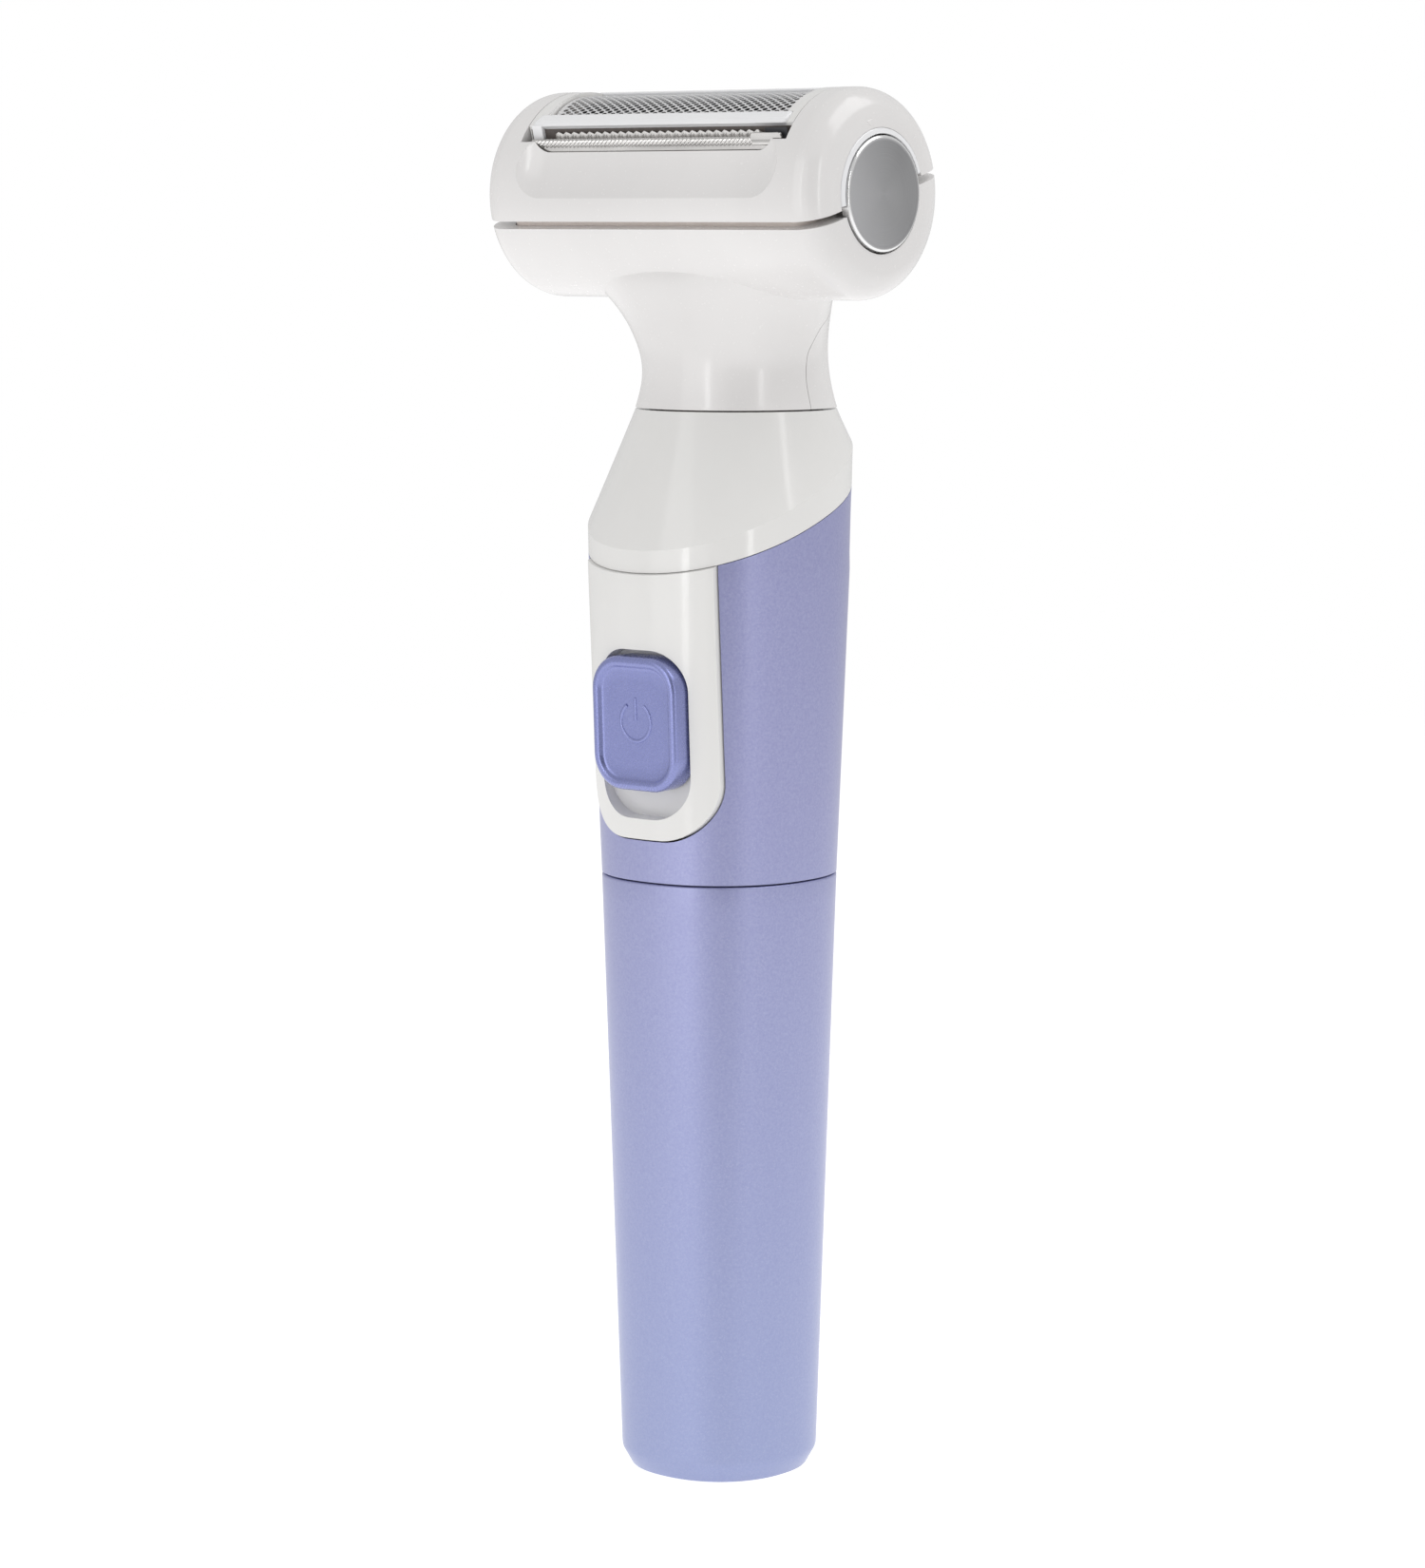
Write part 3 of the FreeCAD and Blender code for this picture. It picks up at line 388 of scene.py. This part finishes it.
def roundedOutline(corners, radius, steps=4):  # a closed outline with its corners cut by short arcs
    p = np.asarray(corners, float)
    before, after = np.roll(p, 1, 0) - p, np.roll(p, -1, 0) - p
    longBefore, longAfter = np.linalg.norm(before, axis=1), np.linalg.norm(after, axis=1)
    reach = np.minimum(radius, 0.45 * np.minimum(longBefore, longAfter))  # less than half of the shorter side
    a = p + before / longBefore[:, None] * reach[:, None]
    b = p + after / longAfter[:, None] * reach[:, None]
    t = np.linspace(0, 1, steps)[None, :, None]
    arcs = (1 - t) ** 2 * a[:, None] + 2 * t * (1 - t) * p[:, None] + t ** 2 * b[:, None]
    return arcs.reshape(-1, p.shape[1])


# shells that keep the frame's shape
skins = {"shoulder_cap": 20, "grip_shell": 25, "switch_panel": 25, "lid": 25, "head_base": 25,
         "neck_cover": 25, "foil_frame": 25}


def makeSkin(node, sharp):  # a merged copy of the frame's mesh, shaded smooth up to an angle
    source = nodes[node]
    points = np.empty(len(source.data.vertices) * 3)
    source.data.vertices.foreach_get("co", points)
    faces = [list(face.vertices) for face in source.data.polygons]
    body = next(name for name, members in bodies.items() if node in members)
    slotName = next(part["material_slot"] for part in frame["record"]["subparts"] if part["node"] == node)
    addPiece(node + "Skin", points / mm, faces, slotName, body, [node], sharp=sharp, weld=2e-6)


for node, sharp in skins.items():
    makeSkin(node, sharp)


# battery sleeve
sleeve = {"foot": 10.6, "bevelTop": 11.75, "bevelHeight": 2.4, "seam": 14.04, "seamHeight": 74.5, "wall": 1.6,
          "lip": 0.28, "squareness": 2.2, "groove": 7.4, "turns": 192, "slopeTop": 74.6, "floor": 1.6}


def squareTurn(count, squareness):  # cosine and sine raised to 2 / squareness, which rounds a square
    t = 2 * math.pi * (np.arange(count) + 0.5) / count
    power = 2 / squareness
    return np.sign(np.cos(t)) * np.abs(np.cos(t)) ** power, np.sign(np.sin(t)) * np.abs(np.sin(t)) ** power


def makeSleeve(s):
    # (half width, height) pairs carried round the rounded square, from the foot's centre to the floor's
    lip, top, wall, bevel = s["lip"], s["seamHeight"], s["wall"], s["bevelTop"]
    slope = (s["seam"] - bevel) / (s["slopeTop"] - s["bevelHeight"])
    rise = np.linspace(s["bevelHeight"] + 0.5, top - lip, 26)
    wallOut = np.stack((bevel + slope * (rise - s["bevelHeight"]), rise), -1)
    wallIn = np.stack((wallOut[::-1, 0] - wall, wallOut[::-1, 1]), -1)
    g = s["groove"]
    foot = [(0, 0), (g - 0.5, 0), (g - 0.4, 0.04), (g - 0.3, 0.22), (g + 0.3, 0.22), (g + 0.4, 0.04),
            (g + 0.5, 0), (s["foot"] - 0.35, 0), (s["foot"] - 0.12, 0.05), (s["foot"] + 0.02, 0.2),
            (bevel - 0.12, s["bevelHeight"] - 0.35), (bevel - 0.02, s["bevelHeight"])]
    a = np.linspace(0, math.pi, 9)[1:5]
    lipOver = np.stack((s["seam"] - lip + lip * np.cos(a), top - lip + lip * np.sin(a)), -1)
    lipBack = [(s["seam"] - wall + 0.15, top), (s["seam"] - wall, top - 0.15)]
    floorIn = [(bevel - wall - 0.2, s["floor"] + 0.3), (bevel - wall - 0.7, s["floor"]), (5, s["floor"]),
               (0, s["floor"])]
    profile = np.concatenate((foot, wallOut, lipOver, lipBack, wallIn, floorIn))
    c, n = squareTurn(s["turns"], s["squareness"])
    half, height = profile[:, :1], profile[:, 1:]
    points = np.stack(np.broadcast_arrays(half * c, half * n, height), -1)
    faces = gridFaces(len(profile), s["turns"], wrapColumns=True)
    addPiece("batterySleeve", points, faces, "pearl_lavender", "sleeve", ["battery_sleeve"], sharp=40)


makeSleeve(sleeve)

# foil
foilSheet = {"half": 18.7, "radius": 9.0, "centre": 3.1, "reach": 5.9, "thick": 0.12, "pitch": 1.36,
             "row": 0.84, "hole": (0.40, 0.25), "borderX": 0.75, "borderArc": 0.45}


def makeFoil(s):  # one six-sided cell per hole, laid on the arc: u = r sin(v / r), w = centre + r cos(v / r)
    a, b, r = s["pitch"], s["row"], s["radius"]
    halfArc = math.asin(s["reach"] / r) * r
    cornerX, edgeX = (a * a + b * b) / (4 * a), (a * a - b * b) / (4 * a)
    ring = np.array([(cornerX, 0), (edgeX, b / 2), (-edgeX, b / 2),
                     (-cornerX, 0), (-edgeX, -b / 2), (edgeX, -b / 2)])
    outline = np.stack((ring, (ring + np.roll(ring, -1, 0)) / 2), 1).reshape(-1, 2)
    angle = np.arctan2(outline[:, 1] / s["hole"][1], outline[:, 0] / s["hole"][0])
    hole = np.stack((s["hole"][0] * np.cos(angle), s["hole"][1] * np.sin(angle)), -1)
    columns, rows = int(2 * s["half"] / a) + 3, int(2 * halfArc / b) + 3
    i, j = np.meshgrid(np.arange(-columns, columns + 1), np.arange(-rows, rows + 1))
    near = (i + j) % 2 == 0
    centres = np.stack((i[near] * a / 2, j[near] * b / 2), -1)
    inside = (np.abs(centres[:, 0]) < s["half"] + cornerX) & (np.abs(centres[:, 1]) < halfArc + b / 2)
    centres = centres[inside]
    clear = np.abs(centres) < (s["half"] - s["borderX"], halfArc - s["borderArc"])
    outer = centres[:, None] + outline
    inner = centres[:, None] + np.where(clear.all(1)[:, None, None], hole, 0.0)
    flat = np.concatenate((outer, inner), 1)
    flat[..., 0] = np.clip(flat[..., 0], -s["half"], s["half"])
    flat[..., 1] = np.clip(flat[..., 1], -halfArc, halfArc)
    v = flat[..., 1] / r
    points = np.stack((flat[..., 0], r * np.sin(v), s["centre"] + r * np.cos(v)), -1)
    k = np.arange(12)
    cell = np.stack((k, (k + 1) % 12, 12 + (k + 1) % 12, 12 + k), -1)
    faces = (np.arange(len(centres))[:, None, None] * 24 + cell).reshape(-1, 4)
    p = points.reshape(-1, 3)[faces]
    area = np.linalg.norm(np.cross(p[:, 2] - p[:, 0], p[:, 3] - p[:, 1]), axis=1)
    addPiece("foilSheet", inHead(points), faces[area > 1e-5], "foil_steel", "foil", ["foil"],
             thick=s["thick"], weld=2e-6)


makeFoil(foilSheet)

# guard bars
guard = {"half": 19.9, "round": 0.14, "end": 0.5,
         "outline": [(-7.35, 10.62), (-6.95, 11.12), (-5.45, 11.5), (-5.15, 11.42), (-5.15, 10.9),
                     (-6.2, 10.0), (-6.2, 9.3), (-6.8, 9.3), (-6.8, 10.2)]}
# painted shade: a thin dark strip where the guard bar shades the slot behind the trimmer
shadeStrip = {"half": 20.6, "u": (-6.88, -6.81), "w": (5.9, 10.12)}


def makeGuard(name, node, side, s):  # the outline carried along X; its ends shrink towards its middle
    outline = roundedOutline(s["outline"], s["round"])
    middle = outline.mean(0)
    slide = np.array((0.0, 0.12, 0.3, 0.5, 0.72, 0.88, 1.0))
    ends = s["half"] - s["end"] * (1 - slide)
    shrink = 1 - 0.28 * (1 - np.sqrt(1 - slide ** 2))
    xs = np.concatenate((-ends[::-1], np.linspace(-ends[0], ends[0], 40)[1:-1], ends))
    size = np.concatenate((shrink[::-1], np.ones(38), shrink))
    points, faces = alongX(outline, xs)
    points = points.reshape(len(xs), -1, 3)
    points[..., 1:] = middle + (points[..., 1:] - middle) * size[:, None, None]
    points[..., 1] *= -side
    addPiece(name, inHead(points), faces, "guard_pearl", "lid", [node], sharp=40)


makeGuard("guardBarFront", "guard_bar_front", -1, guard)
makeGuard("guardBarRear", "guard_bar_rear", 1, guard)


def makeShadeStrip(name, side, s):  # a dark strip put behind the trimmer as painted shade under the guard bar
    (front, back), (low, high) = s["u"], s["w"]
    outline = roundedOutline([(front, low), (front, high), (back, high), (back, low)], 0.02)
    points, faces = alongX(outline, np.linspace(-s["half"], s["half"], 12))
    points[:, 1] *= -side
    addPiece(name, inHead(points), faces, "dark_plastic", "lid")


makeShadeStrip("shadeStripFront", -1, shadeStrip)
makeShadeStrip("shadeStripRear", 1, shadeStrip)

# trimmer
comb = {"half": 20.0, "u": -8.0, "w": 8.55, "radius": 0.62, "groove": 0.2, "pitch": 0.63, "slant": -1.1,
        "sharp": 2.2, "toothed": (-18.9, 15.6), "seat": (-8.45, -7.6), "seatLow": 5.95, "round": 28}
blade = {"half": 16.1, "u": -7.26, "thick": 0.35, "low": 6.35, "web": 2.2, "root": 9.52, "tip": 9.86,
         "pitch": 1.26, "reach": 0.16}
tab = {"x": (15.4, 20.1), "u": (-8.5, -8.2), "w": (8.1, 9.7)}
# painted shade: a thin dark plate standing for the shadowed hollow at the slot's right end
slotEndShade = {"x": (17.2, 20.6), "u": (-7.8, -7.72), "w": (8.3, 10.15)}
leg = {"x": (-20.0, -18.4), "u": (-7.4, -6.9), "w": (8.9, 10.7)}


def makeComb(name, node, side, s):
    # a bar whose radius dips along slanted lines:
    # radius - groove |cos(pi (x / pitch - slant a / (pi / 2)))| ** sharp
    xs = np.linspace(-s["half"], s["half"], int(2 * s["half"] / s["pitch"]) * 8 + 1)[:, None]
    a = np.linspace(0, 2 * math.pi, s["round"], endpoint=False)[None, :]
    ends = np.clip((s["half"] - np.abs(xs)) / s["radius"], 0, 1)
    dip = np.abs(np.cos(math.pi * (xs / s["pitch"] - s["slant"] * a / (math.pi / 2)))) ** s["sharp"]
    toothed = (xs > s["toothed"][0]) & (xs < s["toothed"][1])
    r = (s["radius"] - s["groove"] * dip * toothed) * np.sqrt(1 - (1 - ends) ** 2)
    points = np.stack(np.broadcast_arrays(xs, -side * (s["u"] + r * np.cos(a)), s["w"] + r * np.sin(a)), -1)
    bar = points, gridFaces(len(xs), s["round"], wrapColumns=True).tolist()
    low, high = s["seat"]
    corners = [(low, s["seatLow"]), (high, s["seatLow"]), (high, s["w"]), (low, s["w"] - 0.2)]
    seat = alongX(roundedOutline(corners, 0.08), [-s["half"], s["half"]])
    seat[0][:, 1] *= -side
    points, faces = joined(bar, seat)
    addPiece(name, inHead(points), faces, "blade_steel", "lid", [node], sharp=50)


def makeBlade(name, node, side, s):
    # a strip whose top edge is a row of points: root + (tip - root) * triangle(x / pitch)
    teeth = round(2 * s["half"] / s["pitch"])
    phase = np.arange(teeth * 4 + 1) / 4
    rise = np.array((0.0, 0.55, 1.0, 0.55))[np.arange(teeth * 4 + 1) % 4]
    xs = (phase - teeth / 2) * s["pitch"]
    top = s["root"] + (s["tip"] - s["root"]) * rise
    back = s["u"] + s["thick"]
    lean = s["u"] - s["reach"] * rise
    low = s["low"]
    profile = ((s["u"], low), (s["u"], low + s["web"]), (lean, top), (back - 0.1, top - 0.12), (back, low))
    points = np.stack([np.stack(np.broadcast_arrays(xs, u, w), -1) for u, w in profile], 1)
    points[..., 1] *= -side
    faces = gridFaces(len(xs), 5, wrapColumns=True).tolist()
    faces += [list(range(5)), [(len(xs) - 1) * 5 + k for k in range(5)][::-1]]
    addPiece(name, inHead(points), faces, "blade_steel", "trimmers", [node], sharp=25)


def makeBlock(name, side, s, slotName, radius):
    # a plate with rounded corners in x and w, carried through its depth in u, with its front edge broken
    (left, right), (low, high) = s["x"], s["w"]
    outline = roundedOutline([(left, low), (right, low), (right, high), (left, high)], radius, 7)
    front, back = s["u"]
    inner = outline.mean(0) + (outline - outline.mean(0)) * 0.97
    layers = [(inner, front), (outline, front + 0.05), (outline, back)]
    points = np.concatenate([np.insert(ring, 1, u * -side, axis=1) for ring, u in layers])
    m = len(outline)
    faces = gridFaces(3, m, wrapColumns=True).tolist() + [list(range(m)), [2 * m + i for i in range(m)][::-1]]
    addPiece(name, inHead(points), faces, slotName, "lid", sharp=30)


for piece, block, slotName, radius in (("combTab", tab, "blade_steel", 0.5),
                                       ("slotEndShade", slotEndShade, "seal_rubber", 0.1),
                                       ("guardLeg", leg, "guard_pearl", 0.2)):
    makeBlock(piece + "Front", -1, block, slotName, radius)
    makeBlock(piece + "Rear", 1, block, slotName, radius)
makeComb("combFront", "trimmer_comb_front", -1, comb)
makeComb("combRear", "trimmer_comb_rear", 1, comb)
makeBlade("bladeFront", "trimmer_blade_front", -1, blade)
makeBlade("bladeRear", "trimmer_blade_rear", 1, blade)

# switch knob
knob = {"half": 6.7, "low": 85.9, "height": 16.3, "corner": 4.2, "face": 16.1, "floor": 0.52, "arc": 12,
        "lean": math.atan((15.5 - 14.04) / (112 - 74.6)),
        "profile": [(0.0, 3.3), (0.0, 0.62), (0.05, 0.42), (0.2, 0.2), (0.45, 0.04), (0.7, 0.0), (0.95, 0.03),
                    (1.15, 0.16), (1.3, 0.36), (1.45, 0.48), (1.7, 0.52)]}
symbol = {"radius": 2.35, "centre": 94.3, "wide": 0.24, "high": 0.16, "gap": 34, "stroke": (0.2, 2.9)}


def leaned(points, k):  # tilts the switch's points to the taper of the handle's front
    x, y, z = np.moveaxis(np.asarray(points, float), -1, 0)
    c, s = math.cos(k["lean"]), math.sin(k["lean"])
    y0, z0 = -k["face"], k["low"] + k["height"] / 2
    return np.stack((x, y0 + (y - y0) * c - (z - z0) * s, z0 + (y - y0) * s + (z - z0) * c), -1)


def makeKnob(k):  # (inset, depth) pairs carried round a rounded rectangle, then drawn in to its middle
    n = k["arc"]
    turn = np.linspace(0, math.pi / 2, n)
    turn = (np.arange(4)[:, None] * math.pi / 2 + turn).ravel()
    sx, sz = np.repeat((1, -1, -1, 1), n), np.repeat((1, 1, -1, -1), n)
    middle = k["low"] + k["height"] / 2
    inset, depth = np.array(k["profile"]).T[:, :, None]
    r = np.maximum(k["corner"] - inset, 0.35)
    x = sx * (k["half"] - inset - r) + r * np.cos(turn)
    z = sz * (k["height"] / 2 - inset - r) + r * np.sin(turn)
    y = np.broadcast_to(depth, x.shape)
    shrink = np.array((0.8, 0.5, 0.2, 0.0))[:, None]
    x, z = np.concatenate((x, x[-1] * shrink)), np.concatenate((z, z[-1] * shrink))
    y = np.concatenate((y, np.broadcast_to(k["floor"] + 0.05 * (1 - shrink), (4, y.shape[1]))))
    x, z, y = np.concatenate((x[:1] * 0, x)), np.concatenate((z[:1] * 0, z)), np.concatenate((y[:1], y))
    points = np.stack((x, y - k["face"], z + middle), -1)
    faces = gridFaces(len(points), 4 * n, wrapColumns=True)
    addPiece("switchKnob", leaned(points, k), faces, "knob_lavender", "switch", ["switch_knob"], sharp=50)


def makeSymbol(s, k):  # a half-round line, carried round an open circle and up a short stroke
    a = np.linspace(0, math.pi, 7)
    section = np.stack((s["wide"] * np.cos(a), s["high"] * np.sin(a)), -1)
    gap = math.radians(s["gap"])
    t = np.linspace(math.pi / 2 + gap, math.pi * 2.5 - gap, 72)
    floor = k["floor"] + 0.04 - k["face"]

    def swept(px, pz, nx, nz):
        x = px[:, None] + nx[:, None] * section[:, 0]
        z = pz[:, None] + nz[:, None] * section[:, 0]
        y = np.broadcast_to(floor - section[:, 1], x.shape)
        points = np.stack((x, y, z + s["centre"]), -1)
        m = len(section)
        ends = [list(range(m)), [(len(px) - 1) * m + i for i in range(m)][::-1]]
        return points, gridFaces(len(px), m, wrapColumns=True).tolist() + ends

    circle = swept(s["radius"] * np.cos(t), s["radius"] * np.sin(t), np.cos(t), np.sin(t))
    up = np.linspace(s["stroke"][0], s["stroke"][1], 8)
    stroke = swept(up * 0, up, up * 0 + 1, up * 0)
    points, faces = joined(circle, stroke)
    addPiece("powerSymbol", leaned(points, k), faces, "knob_lavender", "switch", sharp=60)


makeKnob(knob)
makeSymbol(symbol, knob)

# release discs
disc = {"face": 27.1, "turns": 128,
        "profile": [(0.0, -0.06), (2.5, -0.05), (4.6, -0.03), (6.1, 0.0), (6.3, 0.0), (6.42, 0.05),
                    (6.55, 0.06), (6.7, 0.0), (6.8, -0.1), (6.85, -0.28), (6.85, -1.1), (0.0, -1.1)]}


def makeDisc(name, node, body, side, d):  # a turned profile of (radius, height) round the head's long axis
    r, h = np.array(d["profile"]).T[:, :, None]
    a = np.linspace(0, 2 * math.pi, d["turns"], endpoint=False)
    points = np.stack(np.broadcast_arrays(side * (d["face"] - 0.06 + h), r * np.cos(a), r * np.sin(a)), -1)
    faces = gridFaces(len(r), d["turns"], wrapColumns=True)
    addPiece(name, inHead(points), faces, "bright_disc", body, [node], sharp=25)


bezel = {"inner": 7.02, "outer": 7.72, "face": 26.95, "depth": 1.3, "from": 4, "to": 176}


def makeBezel(name, side, b):
    # a half ring over the disc, filling the lid's recess: a rounded section turned from one seam to the other
    a = np.radians(np.linspace(b["from"], b["to"], 72))[:, None]
    inner, outer, face, back = b["inner"], b["outer"], b["face"], b["face"] - b["depth"]
    section = roundedOutline([(inner, back), (outer, back), (outer, face - 0.18), (inner, face)], 0.16)
    r, h = section[:, 0][None, :], section[:, 1][None, :]
    points = np.stack(np.broadcast_arrays(side * h, -r * np.cos(a), r * np.sin(a)), -1)
    n, m = points.shape[:2]
    faces = gridFaces(n, m, wrapColumns=True).tolist()
    faces += [list(range(m)), [(n - 1) * m + i for i in range(m)][::-1]]
    addPiece(name, inHead(points), faces, "guard_pearl", "lid")


mark = {"x": 26.62, "centre": (0.0, 8.5), "wide": 1.1, "high": 0.8, "proud": 0.14}


def makeMark(m):  # a small moulded triangle over the right disc, pointing down
    u, w = m["centre"]
    low, high = m["x"] - 0.4, m["x"] + m["proud"]
    wide, tall = m["wide"] / 2, m["high"] / 2
    corners = [(u - wide, w + tall), (u + wide, w + tall), (u, w - tall)]
    small = [(u + (a - u) * 0.8, w + (b - w) * 0.8) for a, b in corners]
    layers = ((low, corners), (high - 0.05, corners), (high, small))
    points = [(x, a, b) for x, ring in layers for a, b in ring]
    faces = gridFaces(3, 3, wrapColumns=True).tolist() + [[0, 1, 2], [8, 7, 6]]
    addPiece("moulderMark", inHead(points), faces, "head_white", "lid", sharp=20)


spring = {"apart": 9.0, "radius": 1.9, "wire": 0.198, "low": 1.47, "high": 9.18, "turns": 6.5, "steps": 20,
          "give": 0.85}


def makeSprings(s):
    # helices x = apart + r cos t, u = r sin t, w = low + rise t, riding with the cutter carrier
    t = np.linspace(0, 2 * math.pi * s["turns"], int(s["turns"] * s["steps"]))[:, None]
    a = np.linspace(0, 2 * math.pi, 8, endpoint=False)[None, :]
    low, high = s["low"] + s["wire"], s["high"] - s["wire"]
    r = s["radius"] + s["wire"] * np.cos(a)
    w = low + (high - low) * t / t[-1] + s["wire"] * np.sin(a)
    caps = [list(range(8)), [(len(t) - 1) * 8 + i for i in range(8)][::-1]]
    coils = [(np.stack((side * s["apart"] + r * np.cos(t), r * np.sin(t), w), -1),
              gridFaces(len(t), 8, wrapColumns=True).tolist() + caps) for side in (-1, 1)]
    points, faces = joined(*coils)
    piece = addPiece("cutterCoils", inHead(points), faces, "blade_steel", "carrier", ["cutter_springs"],
                     sharp=60)
    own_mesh(piece)


makeSprings(spring)
makeBezel("bezelRight", 1, bezel)
makeBezel("bezelLeft", -1, bezel)
makeMark(mark)
makeDisc("discRight", "release_disc_right", "release_right", 1, disc)
makeDisc("discLeft", "release_disc_left", "release_left", -1, disc)
print("new pieces are made")

# floor
floorSize = {"reach": 1.6, "fade": 0.9}


def addFloor(d):
    around = np.linspace(0, 2 * math.pi, 96, endpoint=False)
    rings = d["reach"] * np.array((0.0, 0.05, 0.15, 0.4, 1.0))[:, None]
    points = np.stack((rings * np.cos(around), rings * np.sin(around), np.full((5, 96), 0.0)), -1)
    mesh = bpy.data.meshes.new("floor")
    mesh.from_pydata(points.reshape(-1, 3).tolist(), [], gridFaces(5, 96, wrapColumns=True).tolist())
    floor = bpy.data.objects.new("floor", mesh)
    bpy.context.scene.collection.objects.link(floor)
    f = Finish("paleFloor")
    spot = f.place()
    away = f.node("ShaderNodeVectorMath", {"operation": "LENGTH"}, {0: spot}, out=1)
    cloud = f.noise(30.0, 3.0, spot)
    base = f.mix(f.ramp(cloud, 0.3, 0.7), colour(138, 138, 139), colour(148, 148, 148))
    mesh.materials.append(f.done(Base_Color=base, Roughness=0.6, Emission_Color=(1.0, 1.0, 1.0, 1.0),
                                 Emission_Strength=0.93, Alpha=f.ramp(away, 0.25, d["fade"], 1.0, 0.0)))


addFloor(floorSize)
